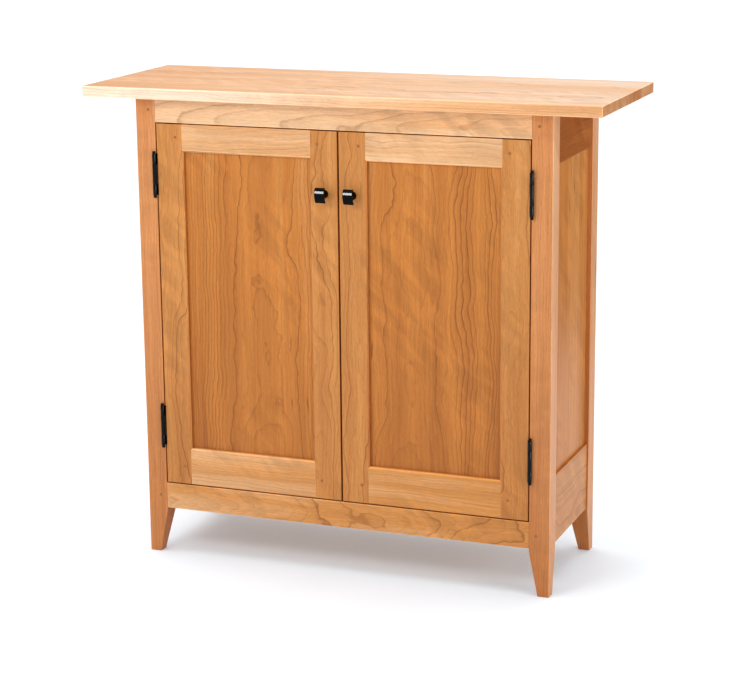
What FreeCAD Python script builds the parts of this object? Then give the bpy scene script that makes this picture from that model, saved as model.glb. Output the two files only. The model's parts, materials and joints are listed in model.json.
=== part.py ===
import FreeCAD, Part
import os
import math

# Side cabinet in solid cherry: four legs tapered at the foot, frame and panel sides and back,
# two inset frame and panel doors on ball tip butt hinges, two adjustable shelves, overhanging top.
# Millimetres. +Z is up, the front looks to -Y, the origin is on the floor under the middle.

V = FreeCAD.Vector

# Overall sizes
top_thickness = 20.0
top_end_overhang = 92.5      # past the legs at each end
top_front_overhang = 30.0    # past the legs at the front and the back
leg_height = 864.0
case_width = 787.0           # across the outer faces of the legs
case_depth = 292.0
case_half = case_width / 2
case_front = -case_depth / 2
case_back = case_depth / 2

# Fits
past = 1.0                   # how far a cutter runs beyond a face
glue_fit = 0.1               # air beside each cheek of a tenon, tongue or panel
end_fit = 0.8                # air left at the end of a tenon
pin_fit = 0.05               # air around pegs, pins and magnets
arris_ease = 0.7             # sanded corner on every board
top_ease = 1.0
round_side_count = 16        # small round pieces are cut with this many sides

# Legs
leg_section = 38.0
leg_foot = 21.5              # square left at the floor by the two tapers
taper_drop = 6.0             # the tapers begin this far below the rails
leg_inner = case_half - leg_section
leg_front_back = case_front + leg_section
leg_rear_front = case_back - leg_section

# Rails between the legs
rail_low_edge = 88.0
front_top_rail_height = 45.0
front_bottom_rail_height = 49.0
side_top_rail_height = 92.0
side_bottom_rail_height = 126.0
rail_thickness = 20.0
side_rail_set_back = 3.0     # behind the outer face of the legs
side_panel_set_back = 8.5
case_tenon_thickness = 8.0
case_tenon_shoulder = 10.0   # step from the rail's edge to its tenon
front_tenon_length = 19.0
side_tenon_length = 25.0
side_panel_thickness = 8.0
back_panel_thickness = 6.0
case_groove_depth = 8.0
panel_room = 1.5             # air left in a groove for the panel to swell
back_stile_width = 60.0

# Inside
floor_thickness = 18.0
floor_tongue_thickness = 6.0
floor_tongue_length = 6.0
floor_room = 0.3
cleat_section = 16.0
shelf_thickness = 18.0
shelf_end_room = 1.5
shelf_front_room = 8.0       # behind the doors
shelf_back_room = 5.0
shelf_ease = 1.0
shelf_pin_row = 7.0          # pin row from the back edge of the leg
shelf_hole_pitch = 64.0
shelf_hole_count = 7
shelf_hole_low = 149.0       # lowest hole above the floor of the cabinet
holes_below_lower_shelf_count = 1
holes_below_upper_shelf_count = 5
shelf_pin_diameter = 5.0
shelf_pin_depth = 9.0
shelf_pin_stub = 9.0         # length that carries the shelf

# Doors
door_thickness = 20.0
door_side_gap = 2.0
door_middle_gap = 3.0
door_top_gap = 2.0
door_bottom_gap = 2.5
door_stop_gap = 0.3
stile_width = 53.0
door_top_rail_height = 50.0
door_bottom_rail_height = 70.0
bevel_width = 2.5            # small bevel round the panel opening
bevel_depth = 1.5
door_panel_thickness = 6.0
door_panel_recess = 7.5      # panel face behind the frame face
door_groove_depth = 8.0
door_tenon_length = 32.0
door_tenon_shoulder = 12.0
peg_diameter = 5.0
peg_side_count = 8           # pegs are whittled to eight sides
case_peg_offset = 13.0       # from the leg's inner edge
door_peg_offset = 37.5       # from the stile's outer edge
peg_length = 16.0

# Butt hinges
hinge_height = 76.0
hinge_leaf_thickness = 1.5
hinge_leaf_reach = 17.5      # depth of the leaf behind the front face
hinge_axis_front = 4.5       # pin axis in front of the faces
hinge_axis_out = 2.0         # pin axis over the leg, from its inner face
knuckle_radius = 3.5
end_knuckle_height = 19.0    # the middle knuckle, on the door, takes what is left
knuckle_play = 0.2
hinge_pin_diameter = 3.0
ball_diameter = 6.2
ball_height = 5.0            # from the end of the knuckle
ball_ring_count = 6
ball_end_share = 0.93        # of the turn from neck to crown, where a small flat ends the ball
hinge_from_door_top = 93.0   # to the middle of the upper hinge
hinge_from_door_foot = 110.5

# Knobs
knob_from_door_top = 112.0   # to the middle of the knob
knob_plate_width = 18.5
knob_plate_height = 27.0
knob_projection = 24.8
knob_plate_thickness = 3.4
knob_crest_share = 1 / 3     # crest of the plate's arch, from its top
knob_top_drop = 5.3          # top edge of the plate behind the crest
knob_foot_drop = 5.8
knob_base_radius = 8.0
knob_neck_radius = 4.5
knob_neck_start = 13.0
knob_side_count = 24
knob_arc_steps = 8           # flats along each of the plate's two arcs

# Door stop with magnets
stop_length = 150.0
stop_thickness = 18.0
stop_drop = 19.0
stop_bottom = leg_height - front_top_rail_height - stop_drop
magnet_width = 20.0
magnet_height = 10.0
magnet_depth = 5.0
strike_border = 2.0          # strike plate past the magnet on each side
strike_thickness = 1.5
stop_top_room = 1.0          # under the top

# Buttons that hold the top
button_width = 28.0
button_length = 32.0
button_height = 18.0
button_tongue = 7.0
button_tongue_thickness = 6.0
button_gap = 0.3             # under the top
button_shoulder_room = 2.0   # lets the top shrink
button_slot_room = 1.0
button_spacing_long = 360.0  # between the two buttons of a long rail
button_spacing_short = 104.0

# Derived places
top_length = case_width + 2 * top_end_overhang
top_depth = case_depth + 2 * top_front_overhang
taper_start = rail_low_edge - taper_drop
front_rail_thickness = door_thickness + door_stop_gap
opening_top = leg_height - front_top_rail_height
opening_bottom = rail_low_edge + front_bottom_rail_height
door_low = opening_bottom + door_bottom_gap
door_high = opening_top - door_top_gap
door_meeting = door_middle_gap / 2
door_hinge_edge = leg_inner - door_side_gap
door_face = case_front
door_rear = door_face + door_thickness
side_rail_outer = case_half - side_rail_set_back
side_rail_inner = side_rail_outer - rail_thickness
side_panel_outer = case_half - side_panel_set_back
side_panel_inner = side_panel_outer - side_panel_thickness
side_opening_low = rail_low_edge + side_bottom_rail_height
side_opening_high = leg_height - side_top_rail_height
back_rail_outer = case_back - side_rail_set_back
back_rail_inner = back_rail_outer - rail_thickness
back_rail_middle = (back_rail_outer + back_rail_inner) / 2
front_rail_back = case_front + front_rail_thickness
front_rail_middle = (case_front + front_rail_back) / 2
floor_top = opening_bottom
floor_low = floor_top - floor_thickness
door_panel_front = door_face + door_panel_recess
door_panel_middle = door_panel_front + door_panel_thickness / 2
meeting_stile_inner = door_meeting + stile_width
hinge_stile_inner = door_hinge_edge - stile_width
door_opening_low = door_low + door_bottom_rail_height
door_opening_high = door_high - door_top_rail_height
stile_middle = door_meeting + (stile_width - bevel_width) / 2
knob_height = door_high - knob_from_door_top
hinge_axis_x = leg_inner + hinge_axis_out
hinge_axis_y = door_face - hinge_axis_front
hinge_heights = (door_low + hinge_from_door_foot, door_high - hinge_from_door_top)
stop_height = (opening_top + stop_bottom) / 2
shelf_front = door_rear + shelf_front_room
shelf_back = back_rail_inner - shelf_back_room
shelf_row = leg_front_back - shelf_pin_row
shelf_hole_first = floor_top + shelf_hole_low


# Plain helpers
def box(x0, x1, y0, y1, z0, z1):
    return Part.makeBox(x1 - x0, y1 - y0, z1 - z0, V(x0, y0, z0))


def along(edge, axis):
    direction = edge.Vertexes[-1].Point - edge.Vertexes[0].Point
    return abs(direction.dot(axis)) > 0.9 * direction.Length


def eased(shape, axis, size=arris_ease):
    """The shape with the long corners that run along the axis sanded off."""
    edges = [edge for edge in shape.Edges if along(edge, axis)]
    return shape.makeChamfer(size, edges)


def rod(radius, start, direction, length):
    return Part.makeCylinder(radius, length, start, direction)


def prism(points, travel):
    loop = [V(*point) for point in points]
    face = Part.Face(Part.makePolygon(loop + loop[:1]))
    return face.extrude(travel)


def turned(outline, side_count=round_side_count):
    """Piece turned on the Z axis through (radius, height) points, its round cut with flat sides."""
    rings = []
    for radius, height in outline:
        reach = radius / math.cos(math.pi / side_count)
        turns = [2 * math.pi * (index + 0.5) / side_count for index in range(side_count + 1)]
        rings.append([V(reach * math.cos(turn), reach * math.sin(turn), height) for turn in turns])
    loops = [rings[0], rings[-1]]
    for lower, upper in zip(rings, rings[1:]):
        for side in range(side_count):
            loops.append([lower[side], lower[side + 1], upper[side + 1], upper[side], lower[side]])
    faces = [Part.Face(Part.makePolygon(loop)) for loop in loops]
    return Part.makeSolid(Part.makeShell(faces))


def peg(x, middle, room=0.0):
    """Peg driven in from the front; with room it is the hole for it."""
    radius = peg_diameter / 2 + room
    solid = turned([(radius, 0.0), (radius, peg_length)], peg_side_count)
    solid.rotate(V(0, 0, 0), X, -90)
    solid.translate(V(x, case_front, middle))
    return solid


def mirrored(shape):
    """The same piece for the left side."""
    return shape.mirror(V(0, 0, 0), V(1, 0, 0))


def joined(shapes):
    solid = shapes[0].fuse(shapes[1:])
    return solid.removeSplitter()


def cut(shape, tools):
    return shape.cut(Part.makeCompound(tools))


def group(shapes):
    """Several like pieces that are kept together."""
    return Part.makeCompound(shapes)


X = V(1, 0, 0)
Y = V(0, 1, 0)
Z = V(0, 0, 1)


# Case joints, drawn once as a tenon and cut a little larger as its mortise
def front_tenon(low, high, middle, room=0.0):
    """Tenon of a front or back rail, running into the right leg."""
    half = case_tenon_thickness / 2 + (glue_fit if room else 0.0)
    reach = front_tenon_length + room
    side = glue_fit if room else 0.0
    z0 = low + case_tenon_shoulder - side
    z1 = high - case_tenon_shoulder + side
    return box(leg_inner - past, leg_inner + reach, middle - half, middle + half, z0, z1)


def side_tenon(low, high, room=0.0):
    """Tenon of a right side rail, running into the front leg."""
    side = glue_fit if room else 0.0
    reach = side_tenon_length + room
    z0 = low + case_tenon_shoulder - side
    z1 = high - case_tenon_shoulder + side
    x0 = side_panel_inner - side
    x1 = side_panel_outer + side
    return box(x0, x1, leg_front_back - reach, leg_front_back + past, z0, z1)


def front_to_back(shape):
    return shape.mirror(V(0, 0, 0), V(0, 1, 0))


def front_rail_middles():
    return ((rail_low_edge + opening_bottom) / 2, (opening_top + leg_height) / 2)


def shelf_hole_height(index):
    return shelf_hole_first + index * shelf_hole_pitch


# Hinges
def knuckle(low, high):
    return rod(knuckle_radius, V(hinge_axis_x, hinge_axis_y, low), Z, high - low)


def pin_bore(height):
    radius = hinge_pin_diameter / 2 + pin_fit
    reach = hinge_height / 2 + past
    solid = turned([(radius, -reach), (radius, reach)])
    solid.translate(V(hinge_axis_x, hinge_axis_y, height))
    return solid


def leg_leaf(height):
    """Leaf let into the leg, with the lower and the upper knuckle."""
    low = height - hinge_height / 2
    high = height + hinge_height / 2
    x0 = leg_inner
    x1 = leg_inner + hinge_leaf_thickness
    solids = [box(x0, x1, door_face, door_face + hinge_leaf_reach, low, high)]
    for start, stop in ((low, low + end_knuckle_height), (high - end_knuckle_height, high)):
        solids.append(knuckle(start, stop))
        solids.append(box(x0, x1, hinge_axis_y, door_face + past, start, stop))
    return cut(joined(solids), [pin_bore(height)])


def door_leaf(height):
    """Leaf let into the door; its knuckle stands on a web that crosses the gap."""
    low = height - hinge_height / 2
    x0 = door_hinge_edge - hinge_leaf_thickness
    x1 = door_hinge_edge
    leaf = box(x0, x1, door_face, door_face + hinge_leaf_reach, low, low + hinge_height)
    axis = V(hinge_axis_x, hinge_axis_y, 0)
    reach = axis - V((x0 + x1) / 2, door_face, 0)
    side = V(-reach.y, reach.x, 0) * (hinge_leaf_thickness / 2 / reach.Length)
    near = axis + side
    far = axis - side
    start = low + end_knuckle_height + knuckle_play
    stop = low + hinge_height - end_knuckle_height - knuckle_play
    corners = [(x0, door_face, start), (x1, door_face, start), (near.x, near.y, start), (far.x, far.y, start)]
    web = prism(corners, V(0, 0, stop - start))
    return cut(joined([leaf, web, knuckle(start, stop)]), [pin_bore(height)])


def hinge_pin(height):
    """Loose pin through all the knuckles, with a turned ball tip at each end."""
    core = hinge_pin_diameter / 2
    ball = ball_diameter / 2
    neck_turn = -math.acos(core / ball)
    rise = ball_height / (1.0 - math.sin(neck_turn))
    upper = []
    for index in range(ball_ring_count):
        share = ball_end_share * index / (ball_ring_count - 1)
        turn = neck_turn + share * (math.pi / 2 - neck_turn)
        up = hinge_height / 2 + rise * (math.sin(turn) - math.sin(neck_turn))
        upper.append((ball * math.cos(turn), up))
    lower = [(radius, -up) for radius, up in reversed(upper)]
    solid = turned(lower + upper)
    solid.translate(V(hinge_axis_x, hinge_axis_y, height))
    return solid


def leaf_gain_leg(height):
    low = height - hinge_height / 2 - glue_fit
    high = height + hinge_height / 2 + glue_fit
    back = door_face + hinge_leaf_reach + glue_fit
    return box(leg_inner - past, leg_inner + hinge_leaf_thickness, door_face - past, back, low, high)


def leaf_gain_door(height):
    low = height - hinge_height / 2 - glue_fit
    high = height + hinge_height / 2 + glue_fit
    back = door_face + hinge_leaf_reach + glue_fit
    x0 = door_hinge_edge - hinge_leaf_thickness
    return box(x0, door_hinge_edge + past, door_face - past, back, low, high)


# Legs
def leg_blank():
    """Right front leg: square, its two inner faces tapered below the rails."""
    outer = case_half
    foot_x = outer - leg_foot
    foot_y = case_front + leg_foot
    front_view = [
        (outer, case_front, 0), (outer, case_front, leg_height), (leg_inner, case_front, leg_height),
        (leg_inner, case_front, taper_start), (foot_x, case_front, 0),
    ]
    side_view = [
        (leg_inner, case_front, 0), (leg_inner, case_front, leg_height),
        (leg_inner, leg_front_back, leg_height), (leg_inner, leg_front_back, taper_start),
        (leg_inner, foot_y, 0),
    ]
    wide = prism(front_view, V(0, leg_section, 0))
    deep = prism(side_view, V(leg_section, 0, 0))
    return eased(wide.common(deep), Z)


def side_panel_groove():
    x0 = side_panel_inner - glue_fit
    x1 = side_panel_outer + glue_fit
    low = side_opening_low - case_tenon_shoulder
    high = side_opening_high + case_tenon_shoulder
    return box(x0, x1, leg_front_back - case_groove_depth, leg_front_back + past, low, high)


def side_mortises():
    return [
        side_tenon(side_opening_high, leg_height, end_fit),
        side_tenon(rail_low_edge, side_opening_low, end_fit),
        side_panel_groove(),
    ]


def shelf_pin(index, room=0.0):
    """Pin in the right front leg that carries a shelf; with room it is the hole for it."""
    radius = shelf_pin_diameter / 2 + (pin_fit if room else 0.0)
    solid = turned([(radius, -shelf_pin_stub), (radius, shelf_pin_depth + room)])
    solid.rotate(V(0, 0, 0), Y, 90)
    solid.translate(V(leg_inner, shelf_row, shelf_hole_height(index)))
    return solid


def shelf_holes():
    return [shelf_pin(index, end_fit) for index in range(shelf_hole_count)]


def front_leg():
    tools = side_mortises() + shelf_holes()
    tools.append(front_tenon(opening_top, leg_height, front_rail_middle, end_fit))
    tools.append(front_tenon(rail_low_edge, opening_bottom, front_rail_middle, end_fit))
    for middle in front_rail_middles():
        tools.append(peg(leg_inner + case_peg_offset, middle, pin_fit))
    for height in hinge_heights:
        tools.append(leaf_gain_leg(height))
    return cut(leg_blank(), tools)


def rear_leg():
    tools = [front_to_back(tool) for tool in side_mortises() + shelf_holes()]
    tools.append(front_tenon(side_opening_high, leg_height, back_rail_middle, end_fit))
    tools.append(front_tenon(rail_low_edge, side_opening_low, back_rail_middle, end_fit))
    half = back_panel_thickness / 2 + glue_fit
    low = side_opening_low - case_tenon_shoulder
    high = side_opening_high + case_tenon_shoulder
    tools.append(box(leg_inner - past, leg_inner + case_groove_depth,
                     back_rail_middle - half, back_rail_middle + half, low, high))
    return cut(front_to_back(leg_blank()), tools)


# Rails
def button_slot(axis_along, place):
    """Slot in the back of a rail for the tongue of a button."""
    half = button_width / 2 + button_slot_room
    low = leg_height - button_gap - button_height / 2 - button_tongue_thickness / 2 - glue_fit
    high = low + button_tongue_thickness + 2 * glue_fit
    deep = button_tongue + end_fit
    if axis_along == "front":
        return box(place - half, place + half, front_rail_back - deep, front_rail_back + past, low, high)
    if axis_along == "back":
        return box(place - half, place + half, back_rail_inner - past, back_rail_inner + deep, low, high)
    return box(side_rail_inner - past, side_rail_inner + deep, place - half, place + half, low, high)


long_button_places = (-button_spacing_long / 2, button_spacing_long / 2)
side_button_places = (-button_spacing_short / 2, button_spacing_short / 2)


def front_rail(low, high):
    body = eased(box(-leg_inner, leg_inner, case_front, front_rail_back, low, high), X)
    tenon = front_tenon(low, high, front_rail_middle)
    return joined([body, tenon, mirrored(tenon)])


def front_top_rail():
    rail = front_rail(opening_top, leg_height)
    tools = [button_slot("front", place) for place in long_button_places]
    tools += front_peg_holes(front_rail_middles()[1])
    return cut(rail, tools)


def front_bottom_rail():
    rail = front_rail(rail_low_edge, opening_bottom)
    half = floor_tongue_thickness / 2 + glue_fit
    middle = floor_top - floor_thickness / 2
    groove = box(-leg_inner, leg_inner, front_rail_back - floor_tongue_length - end_fit,
                 front_rail_back + past, middle - half, middle + half)
    return cut(rail, [groove] + front_peg_holes(front_rail_middles()[0]))


def front_peg_holes(middle):
    hole = peg(leg_inner + case_peg_offset, middle, pin_fit)
    return [hole, mirrored(hole)]


def back_rail(low, high):
    body = eased(box(-leg_inner, leg_inner, back_rail_inner, back_rail_outer, low, high), X)
    tenon = front_tenon(low, high, back_rail_middle)
    return joined([body, tenon, mirrored(tenon)])


def back_stile_tenon(room=0.0):
    """Tenon at the top of the middle stile; the lower one is its image."""
    side = glue_fit if room else 0.0
    half = back_stile_width / 2 - case_tenon_shoulder + side
    thick = back_panel_thickness / 2 + side
    reach = side_tenon_length + room
    return box(-half, half, back_rail_middle - thick, back_rail_middle + thick,
               side_opening_high - past, side_opening_high + reach)


def back_stile_tenon_low(room=0.0):
    middle = (side_opening_high + side_opening_low) / 2
    return back_stile_tenon(room).mirror(V(0, 0, middle), V(0, 0, 1))


def back_groove(low, high):
    half = back_panel_thickness / 2 + glue_fit
    return box(-leg_inner, leg_inner, back_rail_middle - half, back_rail_middle + half, low, high)


def back_top_rail():
    rail = back_rail(side_opening_high, leg_height)
    tools = [button_slot("back", place) for place in long_button_places]
    tools.append(back_groove(side_opening_high - past, side_opening_high + case_groove_depth))
    tools.append(back_stile_tenon(end_fit))
    return cut(rail, tools)


def back_bottom_rail():
    rail = back_rail(rail_low_edge, side_opening_low)
    half = floor_tongue_thickness / 2 + glue_fit
    middle = floor_top - floor_thickness / 2
    floor_groove = box(-leg_inner, leg_inner, back_rail_inner - past,
                       back_rail_inner + floor_tongue_length + end_fit, middle - half, middle + half)
    panel_groove = back_groove(side_opening_low - case_groove_depth, side_opening_low + past)
    return cut(rail, [floor_groove, panel_groove, back_stile_tenon_low(end_fit)])


def back_stile():
    half = back_stile_width / 2
    body = eased(box(-half, half, back_rail_inner, back_rail_outer, side_opening_low, side_opening_high), Z)
    solid = joined([body, back_stile_tenon(), back_stile_tenon_low()])
    thick = back_panel_thickness / 2 + glue_fit
    groove = box(half - case_groove_depth, half + past, back_rail_middle - thick, back_rail_middle + thick,
                 side_opening_low, side_opening_high)
    return cut(solid, [groove, mirrored(groove)])


def back_panel():
    """Right back panel."""
    reach = case_groove_depth - panel_room
    x0 = back_stile_width / 2 - reach
    x1 = leg_inner + reach
    half = back_panel_thickness / 2
    return box(x0, x1, back_rail_middle - half, back_rail_middle + half,
               side_opening_low - reach, side_opening_high + reach)


def side_rail(low, high):
    body = box(side_rail_inner, side_rail_outer, leg_front_back, leg_rear_front, low, high)
    tenon = side_tenon(low, high)
    return joined([eased(body, Y), tenon, front_to_back(tenon)])


def side_rail_groove(low, high):
    x0 = side_panel_inner - glue_fit
    x1 = side_panel_outer + glue_fit
    return box(x0, x1, leg_front_back, leg_rear_front, low, high)


def side_top_rail():
    rail = side_rail(side_opening_high, leg_height)
    tools = [button_slot("side", place) for place in side_button_places]
    tools.append(side_rail_groove(side_opening_high - past, side_opening_high + case_groove_depth))
    return cut(rail, tools)


def side_bottom_rail():
    rail = side_rail(rail_low_edge, side_opening_low)
    return cut(rail, [side_rail_groove(side_opening_low - case_groove_depth, side_opening_low + past)])


def side_panel():
    reach = case_groove_depth - panel_room
    return box(side_panel_inner, side_panel_outer, leg_front_back - reach, leg_rear_front + reach,
               side_opening_low - reach, side_opening_high + reach)


# Top and its buttons
def button(x, y, turn):
    """Wooden button under the top, its tongue pointing to the rail."""
    high = leg_height - button_gap
    low = high - button_height
    middle = (low + high) / 2
    half = button_width / 2
    body = box(0.0, button_length, -half, half, low, high)
    tongue_half = button_tongue_thickness / 2
    tongue = box(-button_tongue, past, -half, half, middle - tongue_half, middle + tongue_half)
    solid = joined([eased(body, Y), tongue])
    solid.rotate(V(0, 0, 0), Z, turn)
    solid.translate(V(x, y, 0))
    return solid


def button_places():
    """Where each button's shoulder stands and which way it faces, right and left."""
    places = []
    for x in long_button_places:
        places.append((x, front_rail_back + button_shoulder_room, 90.0))
        places.append((x, back_rail_inner - button_shoulder_room, -90.0))
    for y in side_button_places:
        places.append((side_rail_inner - button_shoulder_room, y, 180.0))
        places.append((-side_rail_inner + button_shoulder_room, y, 0.0))
    return places


def top():
    board = box(-top_length / 2, top_length / 2, -top_depth / 2, top_depth / 2,
                leg_height, leg_height + top_thickness)
    return board.makeChamfer(top_ease, board.Edges)


def top_buttons():
    return group([button(*place) for place in button_places()])


# Floor, cleats, shelves and their pins
def cabinet_floor():
    wide = side_rail_inner - floor_room
    between = leg_front_back + floor_room
    body = box(-wide, wide, between, -between, floor_low, floor_top)
    narrow = leg_inner - floor_room
    front_part = box(-narrow, narrow, front_rail_back + floor_room, between + past, floor_low, floor_top)
    back_part = box(-narrow, narrow, -between - past, back_rail_inner - floor_room, floor_low, floor_top)
    half = floor_tongue_thickness / 2
    middle = floor_top - floor_thickness / 2
    tongue = box(-narrow, narrow, front_rail_back - floor_tongue_length,
                 back_rail_inner + floor_tongue_length, middle - half, middle + half)
    return joined([body, front_part, back_part, tongue])


def cleat():
    body = box(side_rail_inner - cleat_section, side_rail_inner, leg_front_back, leg_rear_front,
               floor_low - cleat_section, floor_low)
    return eased(body, Y)


def shelf(hole_index):
    half = leg_inner - shelf_end_room
    low = shelf_hole_height(hole_index) + shelf_pin_diameter / 2
    body = box(-half, half, shelf_front, shelf_back, low, low + shelf_thickness)
    return eased(body, X, shelf_ease)


def shelf_pins():
    """Four turned pins under each shelf, half in the legs."""
    pins = [shelf_pin(holes_below_lower_shelf_count), shelf_pin(holes_below_upper_shelf_count)]
    pins += [front_to_back(each) for each in pins]
    return group(pins + [mirrored(each) for each in pins])


# Door stop
def magnet(room=0.0):
    """Magnet let into the front of the stop behind the right door's meeting stile."""
    half = magnet_width / 2 + room
    tall = magnet_height / 2 + room
    return box(stile_middle - half, stile_middle + half, front_rail_back, front_rail_back + magnet_depth,
               stop_height - tall, stop_height + tall)


def door_stop():
    """Strip on the back of the top rail that the doors close against."""
    body = box(-stop_length / 2, stop_length / 2, front_rail_back, front_rail_back + stop_thickness,
               stop_bottom, leg_height - stop_top_room)
    seat = magnet(pin_fit)
    return cut(eased(body, X), [seat, mirrored(seat)])


def stop_magnets():
    return group([magnet(), mirrored(magnet())])


def strike_plate(room=0.0):
    """Steel plate let into the back of the meeting stile, facing the magnet."""
    half = magnet_width / 2 + strike_border + room
    tall = magnet_height / 2 + strike_border + room
    return box(stile_middle - half, stile_middle + half, door_rear - strike_thickness, door_rear,
               stop_height - tall, stop_height + tall)


# Right door; the left one is its mirror image
def door_tongue(edge, way, low, high):
    """Stub along the full height of a door rail that fills the groove of the stile."""
    half = door_panel_thickness / 2
    x = sorted((edge, edge + way * door_groove_depth))
    return box(x[0], x[1], door_panel_middle - half, door_panel_middle + half, low, high)


def door_tenon(edge, way, low, high, room=0.0):
    side = glue_fit if room else 0.0
    half = door_panel_thickness / 2 + side
    x = sorted((edge, edge + way * (door_tenon_length + room)))
    z0 = low + door_tenon_shoulder - side
    z1 = high - door_tenon_shoulder + side
    return box(x[0], x[1], door_panel_middle - half, door_panel_middle + half, z0, z1)


def door_rails():
    return ((door_low, door_opening_low), (door_opening_high, door_high))


def door_peg_middles():
    low = (door_low + door_opening_low - bevel_width) / 2
    high = (door_high + door_opening_high + bevel_width) / 2
    return (low, high)


def door_peg_columns():
    return (door_meeting + door_peg_offset, door_hinge_edge - door_peg_offset)


def edge_bevel(edge, way, low, high):
    """Wedge removed from the front corner of a stile beside the panel opening."""
    wide = bevel_width * (1.0 + past / bevel_depth)
    wedge = [
        (edge, door_face - past, low), (edge - way * wide, door_face - past, low),
        (edge, door_face + bevel_depth, low),
    ]
    return prism(wedge, V(0, 0, high - low))


def stile(outer, inner):
    """Stile between its outer and inner edge, grooved, mortised and bevelled on the inner edge."""
    way = 1.0 if inner > outer else -1.0
    x = sorted((outer, inner))
    body = eased(box(x[0], x[1], door_face, door_rear, door_low, door_high), Z)
    half = door_panel_thickness / 2 + glue_fit
    g = sorted((inner + way, inner - way * (door_groove_depth + glue_fit)))
    tools = [box(g[0], g[1], door_panel_middle - half, door_panel_middle + half, door_low, door_high)]
    tools.append(edge_bevel(inner, way, door_low, door_high))
    for low, high in door_rails():
        tools.append(door_tenon(inner, -way, low, high, end_fit))
    for middle in door_peg_middles():
        for column in door_peg_columns():
            if x[0] < column < x[1]:
                tools.append(peg(column, middle, pin_fit))
    return cut(body, tools)


def meeting_stile():
    return cut(stile(door_meeting, meeting_stile_inner), [strike_plate(pin_fit)])


def hinge_stile():
    gains = [leaf_gain_door(height) for height in hinge_heights]
    return cut(stile(door_hinge_edge, hinge_stile_inner), gains)


def door_rail(low, high, opening_edge, way):
    """Door rail, its face scribed over the bevels of the stiles; way points into the opening."""
    left = meeting_stile_inner
    right = hinge_stile_inner
    plan = [
        (left - bevel_width, door_face, low), (left, door_face + bevel_depth, low),
        (left, door_rear, low), (right, door_rear, low),
        (right, door_face + bevel_depth, low), (right + bevel_width, door_face, low),
    ]
    body = prism(plan, V(0, 0, high - low))
    solids = [body]
    for edge, side in ((left, -1.0), (right, 1.0)):
        solids.append(door_tongue(edge, side, low, high))
        solids.append(door_tenon(edge, side, low, high))
    tall = bevel_width * (1.0 + past / bevel_depth)
    start = left - 2 * bevel_width
    wedge = [
        (start, door_face - past, opening_edge), (start, door_face - past, opening_edge - way * tall),
        (start, door_face + bevel_depth, opening_edge),
    ]
    bevel = prism(wedge, V(right - left + 4 * bevel_width, 0, 0))
    half = door_panel_thickness / 2 + glue_fit
    g = sorted((opening_edge + way, opening_edge - way * (door_groove_depth + glue_fit)))
    groove = box(left - door_groove_depth, right + door_groove_depth,
                 door_panel_middle - half, door_panel_middle + half, g[0], g[1])
    tools = [bevel, groove]
    for middle in door_peg_middles():
        for column in door_peg_columns():
            tools.append(peg(column, middle, pin_fit))
    return cut(joined(solids), tools)


def door_bottom_rail():
    return door_rail(door_low, door_opening_low, door_opening_low, 1.0)


def door_top_rail():
    return door_rail(door_opening_high, door_high, door_opening_high, -1.0)


def door_panel():
    reach = door_groove_depth - panel_room
    return box(meeting_stile_inner - reach, hinge_stile_inner + reach,
               door_panel_front, door_panel_front + door_panel_thickness,
               door_opening_low - reach, door_opening_high + reach)


def door_pegs():
    pegs = []
    for middle in door_peg_middles():
        for column in door_peg_columns():
            pegs.append(peg(column, middle))
    return group(pegs)


def leg_pegs():
    pegs = [peg(leg_inner + case_peg_offset, middle) for middle in front_rail_middles()]
    return group(pegs + [mirrored(each) for each in pegs])


def door_hinge_leaves():
    return group([door_leaf(height) for height in hinge_heights])


def leg_hinge_leaves():
    return group([leg_leaf(height) for height in hinge_heights])


def hinge_pins():
    return group([hinge_pin(height) for height in hinge_heights])


# Knob
def knob_curve(face):
    """Points down one face of the plate: two arcs that meet upright at its crest."""
    top_end = knob_height + knob_plate_height / 2
    crest = top_end - knob_plate_height * knob_crest_share
    points = []
    for way, drop in ((1, knob_top_drop), (-1, knob_foot_drop)):
        rise = top_end - crest if way > 0 else knob_plate_height - (top_end - crest)
        radius = (rise * rise + drop * drop) / (2 * drop)
        sweep = math.asin(rise / radius)
        arc = []
        for step in range(knob_arc_steps + 1):
            turn = sweep * step / knob_arc_steps
            arc.append((0.0, face + radius * (1 - math.cos(turn)), crest + way * radius * math.sin(turn)))
        points += arc[:0:-1] if way > 0 else arc
    return points


def knob_plate():
    """Arched plate of the knob."""
    front = door_face - knob_projection
    outline = knob_curve(front) + knob_curve(front + knob_plate_thickness)[::-1]
    plate = prism(outline, V(knob_plate_width, 0, 0))
    plate.translate(V(stile_middle - knob_plate_width / 2, 0, 0))
    return plate


def knob_stem():
    """Turned stem: a wide foot on the door that narrows to a neck under the plate."""
    reach = knob_projection - knob_plate_thickness + past
    outline = [(knob_base_radius, 0.0), (knob_neck_radius, knob_neck_start), (knob_neck_radius, reach)]
    solid = turned(outline, knob_side_count)
    solid.rotate(V(0, 0, 0), X, 90)
    solid.translate(V(stile_middle, door_face, knob_height))
    return solid


def knob():
    return joined([knob_plate(), knob_stem()])


# All pieces by name
def paired(name, shape):
    return {"right_" + name: shape, "left_" + name: mirrored(shape)}


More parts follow.
